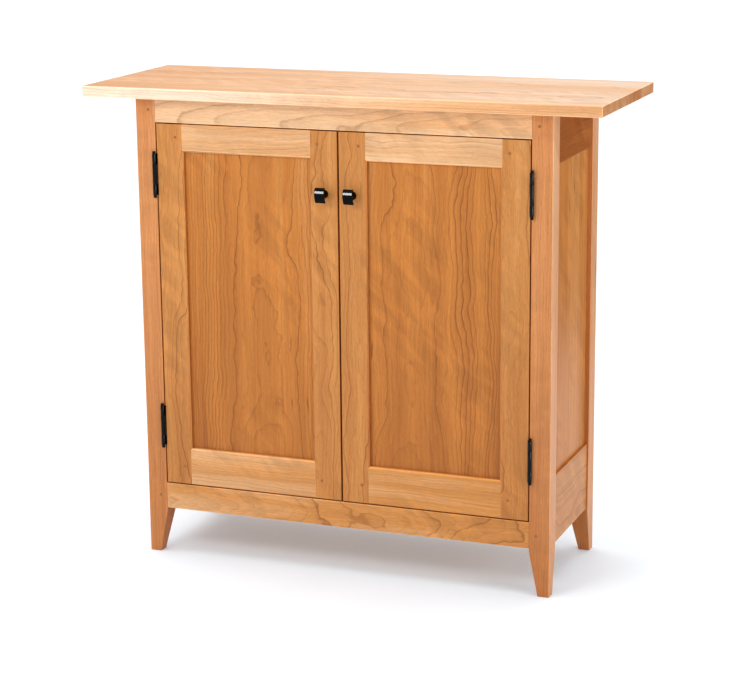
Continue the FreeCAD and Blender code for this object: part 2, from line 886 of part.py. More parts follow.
pieces = {
    "top": top(),
    "front_top_rail": front_top_rail(),
    "front_bottom_rail": front_bottom_rail(),
    "back_top_rail": back_top_rail(),
    "back_bottom_rail": back_bottom_rail(),
    "back_stile": back_stile(),
    "cabinet_floor": cabinet_floor(),
    "lower_shelf": shelf(holes_below_lower_shelf_count),
    "upper_shelf": shelf(holes_below_upper_shelf_count),
    "shelf_pins": shelf_pins(),
    "top_buttons": top_buttons(),
    "leg_pegs": leg_pegs(),
    "door_stop": door_stop(),
    "stop_magnets": stop_magnets(),
}
pieces.update(paired("front_leg", front_leg()))
pieces.update(paired("rear_leg", rear_leg()))
pieces.update(paired("side_top_rail", side_top_rail()))
pieces.update(paired("side_bottom_rail", side_bottom_rail()))
pieces.update(paired("side_panel", side_panel()))
pieces.update(paired("back_panel", back_panel()))
pieces.update(paired("floor_cleat", cleat()))
pieces.update(paired("leg_hinge_leaves", leg_hinge_leaves()))
pieces.update(paired("hinge_pins", hinge_pins()))
pieces.update(paired("door_hinge_stile", hinge_stile()))
pieces.update(paired("door_meeting_stile", meeting_stile()))
pieces.update(paired("door_top_rail", door_top_rail()))
pieces.update(paired("door_bottom_rail", door_bottom_rail()))
pieces.update(paired("door_panel", door_panel()))
pieces.update(paired("door_pegs", door_pegs()))
pieces.update(paired("door_hinge_leaves", door_hinge_leaves()))
pieces.update(paired("knob", knob()))
pieces.update(paired("strike_plate", strike_plate()))

os.makedirs("parts", exist_ok=True)
for name, shape in pieces.items():
    shape.exportStep("parts/" + name + ".step")
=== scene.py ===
import bmesh
import bpy
import json
import math
import random
from mathutils import Matrix, Vector
from mathutils.bvhtree import BVHTree

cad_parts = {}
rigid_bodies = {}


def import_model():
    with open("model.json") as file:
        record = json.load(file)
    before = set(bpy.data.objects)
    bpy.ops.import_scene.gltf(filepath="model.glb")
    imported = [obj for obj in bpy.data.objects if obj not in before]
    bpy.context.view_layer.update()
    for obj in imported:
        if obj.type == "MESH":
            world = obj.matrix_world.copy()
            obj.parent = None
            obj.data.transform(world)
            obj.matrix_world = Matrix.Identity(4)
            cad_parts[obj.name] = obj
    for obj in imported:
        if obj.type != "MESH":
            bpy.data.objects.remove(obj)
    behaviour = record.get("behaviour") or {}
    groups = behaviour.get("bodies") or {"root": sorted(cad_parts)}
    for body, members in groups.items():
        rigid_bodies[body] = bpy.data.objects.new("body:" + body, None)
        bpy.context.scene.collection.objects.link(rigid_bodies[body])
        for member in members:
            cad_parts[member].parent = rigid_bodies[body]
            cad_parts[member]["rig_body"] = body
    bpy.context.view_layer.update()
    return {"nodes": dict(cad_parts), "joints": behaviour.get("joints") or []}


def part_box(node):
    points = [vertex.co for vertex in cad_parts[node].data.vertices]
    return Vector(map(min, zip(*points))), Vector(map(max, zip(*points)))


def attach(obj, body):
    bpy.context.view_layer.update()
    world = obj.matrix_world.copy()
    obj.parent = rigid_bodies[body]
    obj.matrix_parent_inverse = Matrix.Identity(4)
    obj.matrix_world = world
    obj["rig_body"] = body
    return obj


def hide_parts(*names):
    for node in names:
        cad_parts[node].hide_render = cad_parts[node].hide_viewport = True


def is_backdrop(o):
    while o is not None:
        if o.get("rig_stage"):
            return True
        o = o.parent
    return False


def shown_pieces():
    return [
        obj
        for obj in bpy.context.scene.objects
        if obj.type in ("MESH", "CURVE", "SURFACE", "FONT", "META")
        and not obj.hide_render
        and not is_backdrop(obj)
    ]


# %% [markdown]
# ## A small cherry side cabinet
# The cabinet is solid cherry: four tapered legs, frame and panel sides and back, two inset doors
# on blackened hinges and a broad flat top. The construction model already holds every board at
# its true size, so this lesson only dresses it: it decides how each board was cut from its log,
# how its edges were eased, which finish it wears and how it is lit. Units are metres, the floor
# is at z = 0 and the doors face -Y.

# %% Load the construction model
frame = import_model()
nodes = frame["nodes"]
MM = 0.001


# %% [markdown]
# ## Colours and node trees
# Colours are easiest to choose as the hex values that a screen shows, but a renderer works with
# linear light, so one function turns them. Materials are node trees, and a single helper adds a
# node together with its settings and its links, which keeps every tree short to read.

# %% Helpers for colours and nodes
def linear(hex_colour):
    """An sRGB hex colour as the linear RGBA that shaders expect."""
    channels = [int(hex_colour[i:i + 2], 16) / 255 for i in (1, 3, 5)]
    bright = [c / 12.92 if c <= 0.04045 else ((c + 0.055) / 1.055) ** 2.4 for c in channels]
    return (*bright, 1.0)


def add(tree, kind, settings=None, links=None):
    """Adds a node: settings are its properties, links fill its sockets from others or with values."""
    node = tree.nodes.new(kind)
    for name, value in (settings or {}).items():
        setattr(node, name, value)
    for socket, source in (links or {}).items():
        if isinstance(source, bpy.types.NodeSocket):
            tree.links.new(source, node.inputs[socket])
        else:
            node.inputs[socket].default_value = source
    return node


def stops(node, colours):
    """Sets a colour ramp to (position, colour) stops."""
    ramp = node.color_ramp
    while len(ramp.elements) < len(colours):
        ramp.elements.new(1.0)
    for element, (position, colour) in zip(ramp.elements, colours):
        element.position = position
        element.color = colour
    return node


def grey(value):
    """A linear grey as RGBA."""
    return (value, value, value, 1.0)


def remap(came, gives):
    """The sockets of a Map Range node that turns one span of (least, most) into another."""
    return dict(zip(("From Min", "From Max", "To Min", "To Max"), (*came, *gives)))


def new_tree(name, kind, inputs, outputs):
    """An empty node group with (name, socket kind, default) inputs and (name, socket kind) outputs."""
    tree = bpy.data.node_groups.new(name, kind)
    for label, socket_kind, default in inputs:
        socket = tree.interface.new_socket(label, in_out="INPUT", socket_type=socket_kind)
        if default is not None:
            socket.default_value = default
    for label, socket_kind in outputs:
        tree.interface.new_socket(label, in_out="OUTPUT", socket_type=socket_kind)
    return tree


print("a middle cherry, linear:", [round(c, 3) for c in linear("#CE8A48")[:3]])


# %% [markdown]
# ## How cherry looks
# A tree grows a sheath of wood each year round its heart. A board shows those sheaths as lines:
# straight where they meet the face steeply, and as wavy arches where they lie nearly flat. So
# the pattern here is a solid one. Every point of a board knows its place in the log, with the
# heart along the X axis, and the distance from the heart gives the growth ring. One solid
# pattern then serves faces, edges and end grain alike, and they match at every corner. A flat
# image would be quicker, but it would break at the edges of each board.
# The place is first pushed sideways by noise, because fibres wander, and the rings follow them.

# %% The growth rings, as a node group
RING_WIDTH = 4.2 * MM        # one year of growth
LOG_TAPER = 0.011            # how fast a sheath widens along the trunk
# Fibres wander: about 3 mm over 100 mm of length, and 1 mm over 24 mm. Each entry has how often the
# noise repeats in a metre along and across the log, and the whole span that it could push over.
WANDERS = ((10.0, 16.0, 13 * MM), (42.0, 50.0, 3.6 * MM))
SWELL_REPEATS = (3.4, 8.0, 8.0)          # slow swells of the trunk, about 300 mm long
SWELL = 36 * MM              # their whole span, of which the noise seldom uses even half
FAINTEST_YEAR = 0.15         # most years leave a faint line, some a strong one
LATE_WOOD = [(0.0, grey(0.35)), (0.05, grey(0.0)), (0.62, grey(0.03)), (0.86, grey(0.28)),
             (0.94, grey(1.0)), (1.0, grey(0.75))]      # how dark a year's wood is as it grows


def growth_rings():
    """Gives, for a place in the log, the wandered place and how strongly a ring line shows there."""
    tree = new_tree(
        "growth_rings", "ShaderNodeTree",
        [("Place", "NodeSocketVector", None), ("Ring width", "NodeSocketFloat", RING_WIDTH),
         ("Wave", "NodeSocketFloat", 1.0)],
        [("Line", "NodeSocketFloat"), ("Season", "NodeSocketFloat"), ("Place", "NodeSocketVector")],
    )
    given = add(tree, "NodeGroupInput").outputs
    place = given["Place"]
    for along, across, reach in WANDERS:
        wide = add(tree, "ShaderNodeVectorMath", {"operation": "MULTIPLY"},
                   {0: place, 1: (along, across, across)})
        noise = add(tree, "ShaderNodeTexNoise", None,
                    {"Vector": wide.outputs[0], "Scale": 1.0, "Detail": 1.0})
        centred = add(tree, "ShaderNodeVectorMath", {"operation": "SUBTRACT"},
                      {0: noise.outputs["Color"], 1: (0.5, 0.5, 0.5)})
        pushed = add(tree, "ShaderNodeVectorMath", {"operation": "MULTIPLY"},
                     {0: centred.outputs[0], 1: (0.0, reach, reach)})
        waved = add(tree, "ShaderNodeVectorMath", {"operation": "SCALE"},
                    {0: pushed.outputs[0], "Scale": given["Wave"]})
        place = add(tree, "ShaderNodeVectorMath", {"operation": "ADD"},
                    {0: place, 1: waved.outputs[0]}).outputs[0]
    from_heart = add(tree, "ShaderNodeVectorMath", {"operation": "MULTIPLY"},
                     {0: place, 1: (0.0, 1.0, 1.0)})
    radius = add(tree, "ShaderNodeVectorMath", {"operation": "LENGTH"}, {0: from_heart.outputs[0]})
    up_trunk = add(tree, "ShaderNodeSeparateXYZ", None, {0: place})
    # The swells of the trunk close the lines into arches
    slow_place = add(tree, "ShaderNodeVectorMath", {"operation": "MULTIPLY"},
                     {0: given["Place"], 1: SWELL_REPEATS})
    slow = add(tree, "ShaderNodeTexNoise", None,
               {"Vector": slow_place.outputs[0], "Scale": 1.0, "Detail": 1.5})
    swell = add(tree, "ShaderNodeMath", {"operation": "MULTIPLY_ADD"},
                {0: slow.outputs[0], 1: SWELL, 2: -SWELL / 2})
    swell = add(tree, "ShaderNodeMath", {"operation": "MULTIPLY"}, {0: swell.outputs[0], 1: given["Wave"]})
    sheath = add(tree, "ShaderNodeMath", {"operation": "MULTIPLY_ADD"},
                 {0: up_trunk.outputs[0], 1: LOG_TAPER, 2: radius.outputs["Value"]})
    sheath = add(tree, "ShaderNodeMath", {"operation": "ADD"}, {0: sheath.outputs[0], 1: swell.outputs[0]})
    years = add(tree, "ShaderNodeMath", {"operation": "DIVIDE"},
                {0: sheath.outputs[0], 1: given["Ring width"]})
    year = add(tree, "ShaderNodeMath", {"operation": "FLOOR"}, {0: years.outputs[0]})
    season = add(tree, "ShaderNodeMath", {"operation": "FRACT"}, {0: years.outputs[0]})
    harvest = add(tree, "ShaderNodeTexWhiteNoise", {"noise_dimensions": "1D"}, {"W": year.outputs[0]})
    strength = add(tree, "ShaderNodeMapRange", None,
                   {"Value": harvest.outputs["Value"], **remap((0.30, 1.0), (FAINTEST_YEAR, 1.0))})
    late = stops(add(tree, "ShaderNodeValToRGB", None, {0: season.outputs[0]}), LATE_WOOD)
    line = add(tree, "ShaderNodeMath", {"operation": "MULTIPLY"},
               {0: late.outputs[0], 1: strength.outputs[0]})
    add(tree, "NodeGroupOutput", None,
        {"Line": line.outputs[0], "Season": season.outputs[0], "Place": place})
    return tree


rings = growth_rings()
print("ring group:", len(rings.nodes), "nodes")


# %% [markdown]
# ## Oiled cherry
# The finish is a rubbed oil: it lets the wood show and leaves a satin sheen. Colour is built in
# layers, as the eye meets it: a body colour that drifts between pale, middle and deep, fine
# fibre streaks, the soft slanting ripple of figured cherry, ring lines and last the gum marks.
# No two boards on a real cabinet match, so each carries attributes that the layers read: its
# place in the log, its tone from pale (-1) to deep (1), into which some painted light and shade is
# mixed, how strongly its fibres wander, and where it has end grain, which drinks more oil and is
# darker, or an eased edge, which hands and cloths have polished paler and which also carries a
# painted highlight, as the panel bevels do.
# Most layers are noise, drawn out along the grain. The table below holds how often each pattern
# repeats, so that the real sizes of the wood stand in one place.

# %% How often each pattern of cherry repeats
FIBRE_WIDTH = 1.5 * MM       # real fibres are finer than the picture can show
NOISE_SPAN = (0.3, 0.7)      # noise seldom leaves this span
PATTERNS = {                 # repeats in a metre, along the board and across it
    "fibres": (6.0, 1 / FIBRE_WIDTH),    # streaks, 170 mm long
    "streaks": (1.8, 165.0),             # softer ones, 6 mm wide and as long as a panel
    "dashes": (120.0, 750.0),            # 8 mm long, where rays and pores catch the oil
    "bands": (1.5, 34.0),                # broad bands of colour, 20 to 60 mm wide
    "ripples": (30.0, 14.0),             # rippled fibres, 30 mm along the board and 70 mm across
    "figured": (4.5, 10.0),              # the parts of a board that have ripples at all
    "gum": (9.0, 125.0),                 # long cells, 110 mm by 8 mm
    "pores": (60.0, 1200.0),             # 0.8 mm wide, three times as coarse as real, to catch light
}


def stretched(tree, place, pattern):
    """A place scaled so that a texture of scale 1 repeats as often as the pattern does."""
    along, across = PATTERNS[pattern]
    return add(tree, "ShaderNodeVectorMath", {"operation": "MULTIPLY"},
               {0: place, 1: (along, across, across)}).outputs[0]


def carried(tree):
    """The sockets of what every corner of a board carries."""
    board = {"place": add(tree, "ShaderNodeAttribute", {"attribute_name": "log_place"}).outputs["Vector"]}
    for name, attribute in (("tone", "board_tone"), ("wave", "board_wave"), ("end", "end_grain"),
                            ("arris", "eased_edge")):
        board[name] = add(tree, "ShaderNodeAttribute", {"attribute_name": attribute}).outputs["Fac"]
    return board


print("patterns of cherry:", sorted(PATTERNS))


# %% [markdown]
# ## Body colour
# Cherry from one tree runs from pinkish cream near the bark to red brown near the heart, and oil
# brings out that difference. Three colours and a tone are enough to give every board its own
# place between them. Broad bands along the board then move the tone up and down, as the wood of
# good and poor years does. End grain drinks more oil, so its tone is deeper.

# %% Body colour, from pale to deep
BAND_DRIFT = 1.5             # how far the bands move the tone, from one side to the other
END_DEEPER = 1.1             # how much deeper the tone of end grain is


def body_colour(tree, given, board):
    """Colour between pale, middle and deep, as the tone and the bands have it."""
    band = add(tree, "ShaderNodeTexNoise", None,
               {"Vector": stretched(tree, board["grain"], "bands"), "Scale": 1.0, "Detail": 2.0,
                "Distortion": 0.2})
    drift = add(tree, "ShaderNodeMath", {"operation": "MULTIPLY_ADD"},
                {0: band.outputs[0], 1: BAND_DRIFT, 2: -BAND_DRIFT / 2})
    thirsty = add(tree, "ShaderNodeMath", {"operation": "MULTIPLY_ADD"},
                  {0: board["end"], 1: END_DEEPER, 2: board["tone"]})
    pick = add(tree, "ShaderNodeMath", {"operation": "ADD"}, {0: thirsty.outputs[0], 1: drift.outputs[0]})
    colour = given["Pale"]
    for from_tone, deeper in ((-1.0, "Middle"), (0.0, "Deep")):
        share = add(tree, "ShaderNodeMath", {"operation": "SUBTRACT", "use_clamp": True},
                    {0: pick.outputs[0], 1: from_tone})
        colour = add(tree, "ShaderNodeMix", {"data_type": "RGBA"},
                     {"Factor": share.outputs[0], 6: colour, 7: given[deeper]}).outputs[2]
    return colour


print("body colour: tone -1 is pale, 0 middle and 1 deep")


# %% [markdown]
# ## Light and dark
# Over the body colour lie the fibres, which are lighter and darker streaks, and the figure: soft
# ripples that slant across parts of a board, where the fibres lean towards the eye and away from
# it. Real figure comes from how fibres reflect, but it is painted here as light and dark, which
# looks the same from the front and costs nothing. Each year's wood also darkens as it grows, end
# grain is darker, an eased edge is lighter, as wear and a painted highlight, and a panel bevel
# carries a painted highlight, strongest where it faces up.

# %% Light and dark over the body colour
FIBRE_SHADE, STREAK_SHADE, DASH_SHADE = (0.84, 1.12), (0.93, 1.05), (0.94, 1.05)
FIGURED_FROM = (0.45, 0.62)  # the noise at which ripples begin, and at which they are full
RIPPLE_SWING = (0.35, 0.65)  # the noise of the darkest and of the lightest ripple
RIPPLE_SLANT = 0.9           # how far a ripple moves along the board for its width
SEASON_SHADE = 0.05          # how much darker a year's wood is at its end than at its start
END_SHADE = -0.20
# How much lighter an eased edge or a panel bevel is: edge wear and a painted highlight
EDGE_WEAR_AND_HIGHLIGHT = 0.26


def slanting(tree, place):
    """A place that is slid along the board in step with its width."""
    along, across, through = add(tree, "ShaderNodeSeparateXYZ", None, {0: place}).outputs
    slid = add(tree, "ShaderNodeMath", {"operation": "MULTIPLY_ADD"}, {0: across, 1: RIPPLE_SLANT, 2: along})
    return add(tree, "ShaderNodeCombineXYZ", None, {0: slid.outputs[0], 1: across, 2: through}).outputs[0]


def figure(tree, given, board):
    """Factor for the ripples of the parts of a board that are figured."""
    part = add(tree, "ShaderNodeTexNoise", None,
               {"Vector": stretched(tree, board["place"], "figured"), "Scale": 1.0, "Detail": 0.0})
    rippled = add(tree, "ShaderNodeMapRange", {"interpolation_type": "SMOOTHSTEP"},
                  {"Value": part.outputs[0], **remap(FIGURED_FROM, (0.0, given["Figure"]))})
    ripple = add(tree, "ShaderNodeTexNoise", None,
                 {"Vector": stretched(tree, slanting(tree, board["place"]), "ripples"), "Scale": 1.0,
                  "Detail": 2.0, "Distortion": 0.3})
    swing = add(tree, "ShaderNodeMapRange", {"interpolation_type": "SMOOTHSTEP"},
                {"Value": ripple.outputs[0], **remap(RIPPLE_SWING, (-1.0, 1.0))})
    return add(tree, "ShaderNodeMath", {"operation": "MULTIPLY_ADD"},
               {0: rippled.outputs[0], 1: swing.outputs[0], 2: 1.0}).outputs[0]


def shading(tree, given, board, fibres):
    """One factor for how light or dark all these layers leave the wood."""
    soft = add(tree, "ShaderNodeTexNoise", None,
               {"Vector": stretched(tree, board["grain"], "streaks"), "Scale": 1.0, "Detail": 1.5})
    dash = add(tree, "ShaderNodeTexNoise", None,
               {"Vector": stretched(tree, board["grain"], "dashes"), "Scale": 1.0, "Detail": 1.0})
    factors = []
    for noise, shade in ((fibres, FIBRE_SHADE), (soft.outputs[0], STREAK_SHADE),
                         (dash.outputs[0], DASH_SHADE)):
        spread = add(tree, "ShaderNodeMapRange", None, {"Value": noise, **remap(NOISE_SPAN, shade)})
        factors.append(spread.outputs[0])
    factors.append(figure(tree, given, board))
    for mark, change, start in ((board["season"], -SEASON_SHADE, 1.0 + SEASON_SHADE / 2),
                                (board["end"], END_SHADE, 1.0), (board["arris"], EDGE_WEAR_AND_HIGHLIGHT, 1.0)):
        factor = add(tree, "ShaderNodeMath", {"operation": "MULTIPLY_ADD"}, {0: mark, 1: change, 2: start})
        factors.append(factor.outputs[0])
    product = factors[0]
    for factor in factors[1:]:
        product = add(tree, "ShaderNodeMath", {"operation": "MULTIPLY"}, {0: product, 1: factor}).outputs[0]
    return product


print("figure slants by", round(math.degrees(math.atan(RIPPLE_SLANT))), "degrees")


# %% [markdown]
# ## Ring lines and gum marks
# The ring lines are the boldest on boards that are sawn flat, whose rings wander most. Gum marks
# are thin dark flecks that only cherry has. A grid of long cells gives each mark a place of its
# own, and a threshold on the random colour of a cell leaves a mark in one cell in eighty.

# %% Ring lines and gum marks
LINE_BOLDNESS = remap((0.4, 2.0), (0.6, 2.2))    # from how much the rings wander
PLAIN_CELLS = 0.988          # the share of cells without a mark
GUM_SPAN = remap((0.06, 0.20), (0.85, 0.0))      # from the middle of a mark to its edge
GUM_COLOUR = linear("#5E3218")


def line_strength(tree, given, board):
    """How strongly the line of a year stains the wood."""
    bold = add(tree, "ShaderNodeMapRange", None, {"Value": board["wave"], **LINE_BOLDNESS})
    bolder = add(tree, "ShaderNodeMath", {"operation": "MULTIPLY"},
                 {0: bold.outputs[0], 1: given["Ring strength"]})
    return add(tree, "ShaderNodeMath", {"operation": "MULTIPLY", "use_clamp": True},
               {0: board["line"], 1: bolder.outputs[0]}).outputs[0]


def gum_strength(tree, board):
    """How strongly a gum mark hides the wood."""
    cell = add(tree, "ShaderNodeTexVoronoi", None,
               {"Vector": stretched(tree, board["grain"], "gum"), "Scale": 1.0})
    chance_of = add(tree, "ShaderNodeSeparateColor", None, {0: cell.outputs["Color"]})
    rare = add(tree, "ShaderNodeMath", {"operation": "GREATER_THAN"},
               {0: chance_of.outputs[0], 1: PLAIN_CELLS})
    spot = add(tree, "ShaderNodeMapRange", None, {"Value": cell.outputs["Distance"], **GUM_SPAN})
    return add(tree, "ShaderNodeMath", {"operation": "MULTIPLY"},
               {0: rare.outputs[0], 1: spot.outputs[0]}).outputs[0]


print("one gum mark in", round(1 / (1 - PLAIN_CELLS)), "cells")


# %% The layers of cherry, as one node group
SATIN = (0.38, 0.46)         # roughness of the oil over smooth and open fibres
END_ROUGHER = 0.15


def cherry_layers():
    """Group that turns what a board carries into colour, roughness and fine relief."""
    tree = new_tree(
        "cherry_layers", "ShaderNodeTree",
        [("Pale", "NodeSocketColor", None), ("Middle", "NodeSocketColor", None),
         ("Deep", "NodeSocketColor", None), ("Line stain", "NodeSocketColor", None),
         ("Ring strength", "NodeSocketFloat", 0.55), ("Figure", "NodeSocketFloat", 0.10)],
        [("Color", "NodeSocketColor"), ("Roughness", "NodeSocketFloat"), ("Relief", "NodeSocketFloat")],
    )
    given = add(tree, "NodeGroupInput").outputs
    board = carried(tree)
    ring = add(tree, "ShaderNodeGroup", {"node_tree": rings},
               {"Place": board["place"], "Wave": board["wave"]}).outputs
    board.update(grain=ring["Place"], season=ring["Season"], line=ring["Line"])
    fibres = add(tree, "ShaderNodeTexNoise", None,
                 {"Vector": stretched(tree, board["grain"], "fibres"), "Scale": 1.0, "Detail": 3.0,
                  "Roughness": 0.7}).outputs[0]
    shaded = add(tree, "ShaderNodeVectorMath", {"operation": "SCALE"},
                 {0: body_colour(tree, given, board), "Scale": shading(tree, given, board, fibres)})
    # A line stains the colour below it, so it stays tan on pale wood and brown on deep wood
    lined = add(tree, "ShaderNodeMix", {"data_type": "RGBA", "blend_type": "MULTIPLY"},
                {"Factor": line_strength(tree, given, board), 6: shaded.outputs[0], 7: given["Line stain"]})
    marked = add(tree, "ShaderNodeMix", {"data_type": "RGBA"},
                 {"Factor": gum_strength(tree, board), 6: lined.outputs[2], 7: GUM_COLOUR})
    satin = add(tree, "ShaderNodeMapRange", None, {"Value": fibres, **remap(NOISE_SPAN, SATIN)})
    rough = add(tree, "ShaderNodeMath", {"operation": "MULTIPLY_ADD"},
                {0: board["end"], 1: END_ROUGHER, 2: satin.outputs[0]})
    pores = add(tree, "ShaderNodeTexNoise", None,
                {"Vector": stretched(tree, board["grain"], "pores"), "Scale": 1.0, "Detail": 2.0})
    relief = add(tree, "ShaderNodeMath", {"operation": "ADD"}, {0: pores.outputs[0], 1: board["line"]})
    add(tree, "NodeGroupOutput", None,
        {"Color": marked.outputs[2], "Roughness": rough.outputs[0], "Relief": relief.outputs[0]})
    return tree


layers = cherry_layers()
print("cherry layers:", len(layers.nodes), "nodes")


# %% [markdown]
# ## Six woods from one group
# The same layers serve the top, the frames, the legs, the wide panels, the unseen inside and the
# pegs. The top is the palest, with quiet lines, and the legs are the pinkest. The panels are the
# deepest, with the strongest figure, because wide boards come from near the heart. The inside
# has had no sun, which is what deepens cherry, so it stays light. The oil leaves a low, warm
# gloss, and the specular level stays under that of varnish.

# %% The cherry finishes
RELIEF_DEPTH = 0.1 * MM
FINISHES = {                 # pale, middle, deep, stain of the lines, strength of rings and of figure
    "cherry_top": ("#F4D6BA", "#E9B07C", "#C4763C", "#B08860", 0.56, 0.06),
    "cherry_frame": ("#E6BA8E", "#CE8A48", "#A8622A", "#A8845C", 0.74, 0.09),
    "cherry_leg": ("#E4B48C", "#D08850", "#AC642E", "#B08A66", 0.55, 0.05),
    "cherry_panel": ("#D99C5C", "#C57A34", "#9C561E", "#A07C50", 0.85, 0.10),
    "cherry_inside": ("#E0BC94", "#D0A476", "#B07E50", "#B0906C", 0.50, 0.04),
    "cherry_peg": ("#D29A62", "#C4844C", "#B4703A", "#B08A64", 0.40, 0.03),
}


def oiled_cherry(name, pale, middle, deep, stain, ring_strength, figure):
    """Rubbed oil over cherry: satin, warm, with the depth that the layers give."""
    material = bpy.data.materials.new(name)
    material.use_nodes = True
    tree = material.node_tree
    tree.nodes.clear()
    wood = add(tree, "ShaderNodeGroup", {"node_tree": layers},
               {"Pale": linear(pale), "Middle": linear(middle), "Deep": linear(deep),
                "Line stain": linear(stain), "Ring strength": ring_strength, "Figure": figure})
    bump = add(tree, "ShaderNodeBump", None,
               {"Strength": 0.12, "Distance": RELIEF_DEPTH, "Height": wood.outputs["Relief"]})
    surface = add(tree, "ShaderNodeBsdfPrincipled", None,
                  {"Base Color": wood.outputs["Color"], "Roughness": wood.outputs["Roughness"],
                   "IOR": 1.48, "Specular IOR Level": 0.25, "Normal": bump.outputs[0]})
    add(tree, "ShaderNodeOutputMaterial", None, {"Surface": surface.outputs[0]})
    return material


cherry = {slot: oiled_cherry("oiled_" + slot, *looks) for slot, looks in FINISHES.items()}
print("cherry finishes:", sorted(cherry))


# %% [markdown]
# ## Easing the edges
# A cabinetmaker draws a block of fine paper along every arris that a hand can reach, so that it
# is a narrow round instead of a knife edge, and leaves an arris sharp where another board meets
# it flush. The same rule is applied here. Each convex edge is sampled along its length, and it is
# bevelled only if no neighbour lies closer than the thinnest gap of the cabinet. A Bevel modifier
# would round the joints too, and show a groove between boards that are planed flush.

# %% Find and ease the free arrises
EASE = 0.9 * MM
TOUCH = 0.4 * MM             # boards nearer than this are joined
SHORTEST_ARRIS = 6 * MM
ARRIS_TURN = 25              # degrees between the two faces of an arris, at least
SAMPLES = (0.03, 0.27, 0.5, 0.73, 0.97)  # where along an arris a neighbour is looked for

neighbours = {}
for name, node in nodes.items():
    mesh = node.data
    faces = [list(face.vertices) for face in mesh.polygons]
    tree = BVHTree.FromPolygons([vertex.co for vertex in mesh.vertices], faces)
    neighbours[name] = (tree, *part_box(name))


def touched(name, point):
    """Whether another piece of the cabinet lies against this point."""
    for other, (tree, low, high) in neighbours.items():
        near = all(low[a] - TOUCH < point[a] < high[a] + TOUCH for a in range(3))
        if other != name and near and tree.find_nearest(point, TOUCH)[0] is not None:
            return True
    return False


def is_arris(edge, least_turn):
    """Whether an edge is a convex corner that turns by more than so many degrees."""
    return len(edge.link_faces) == 2 and edge.is_convex and edge.calc_face_angle() > math.radians(least_turn)


def round_off(work, edges, width, steps=2):
    """Rounds some edges by so many metres and returns the new faces."""
    return bmesh.ops.bevel(work, geom=edges, offset=width, offset_type="OFFSET", segments=steps,
                           profile=0.5, affect="EDGES", clamp_overlap=True, loop_slide=True)["faces"]


def ease(work, name, width):
    """Rounds the free arrises of a board by so many metres and marks the new faces."""
    arrises = []
    for edge in work.edges:
        if is_arris(edge, ARRIS_TURN) and edge.calc_length() > SHORTEST_ARRIS:
            start, stop = (vertex.co for vertex in edge.verts)
            if not any(touched(name, start.lerp(stop, share)) for share in SAMPLES):
                arrises.append(edge)
    mark = work.faces.layers.int.new("eased")
    for face in round_off(work, arrises, width):
        face[mark] = 1


print("pieces to keep clear of:", len(neighbours))


# %% [markdown]
# ## Sawing the boards
# The construction mesh is loose triangles with no sense of grain. A copy of each board is
# merged, eased, and cut along its glue lines, because a wide board is glued up from staves and
# each stave is sawn from a place of its own in the log. Then every corner of every face gets the
# attributes that the finish reads. The heart of the log is set relative to the middle of the
# board: close behind the face it gives arches, far to one side it gives straight lines. A material
# for each board would do as well, but a few attributes keep the finish in one place.

# %% Helpers that lay out boards
AXES = {"X": 0, "Y": 1, "Z": 2}
SAME_POINT = 0.001 * MM
FLAT = math.radians(0.5)     # faces that turn by less than this are one face


def board_axes(low, high, grain):
    """Indices of the length, width and thickness axes of a board."""
    length = AXES[grain]
    others = sorted((a for a in range(3) if a != length), key=lambda a: high[a] - low[a])
    return length, others[1], others[0]


def cleaned_copy(node):
    """The merged mesh of a CAD node, with its flat faces whole again, ready to be worked."""
    work = bmesh.new()
    work.from_mesh(nodes[node].data)
    bmesh.ops.remove_doubles(work, verts=work.verts[:], dist=SAME_POINT)
    bmesh.ops.dissolve_limit(work, angle_limit=FLAT, verts=work.verts[:], edges=work.edges[:],
                             delimit={"NORMAL"})
    return work


def finish_piece(work, name, node, material):
    """Turns worked geometry into a piece that rides with its node's body and takes its place."""
    mesh = bpy.data.meshes.new(name)
    work.to_mesh(mesh)
    work.free()
    mesh.materials.append(material)
    piece = bpy.data.objects.new(name, mesh)
    bpy.context.scene.collection.objects.link(piece)
    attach(piece, nodes[node]["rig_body"])
    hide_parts(node)
    return piece


# %% Write what the finish reads
BEVEL_SLOPE = (0.80, 0.90)   # how far a bevel, 2.5 mm wide and 1.5 mm deep, still faces forward
BEVEL_HIGHLIGHT = 0.8              # how pale a bevel is painted as a highlight, where 1 is an eased arris
BEVEL_HIGHLIGHT_UPWARD = 2.5       # and how much more where it looks straight up at the overhead light
END_GRAIN_SLOPE = 0.8        # a face that looks so far along the grain is end grain


def tone_of(face, tone, facing_light_and_shade):
    """The tone of a face at the two ends of its board, with the painted light and shade added for the way it
    looks.
    """
    for axis, shift in facing_light_and_shade.items():
        look = face.normal[AXES[axis[-1]]]
        look = {"+": max(look, 0.0), "-": max(-look, 0.0)}.get(axis[0], abs(look))
        tone = [end + look * more for end, more in zip(tone, shift)]
    return tone


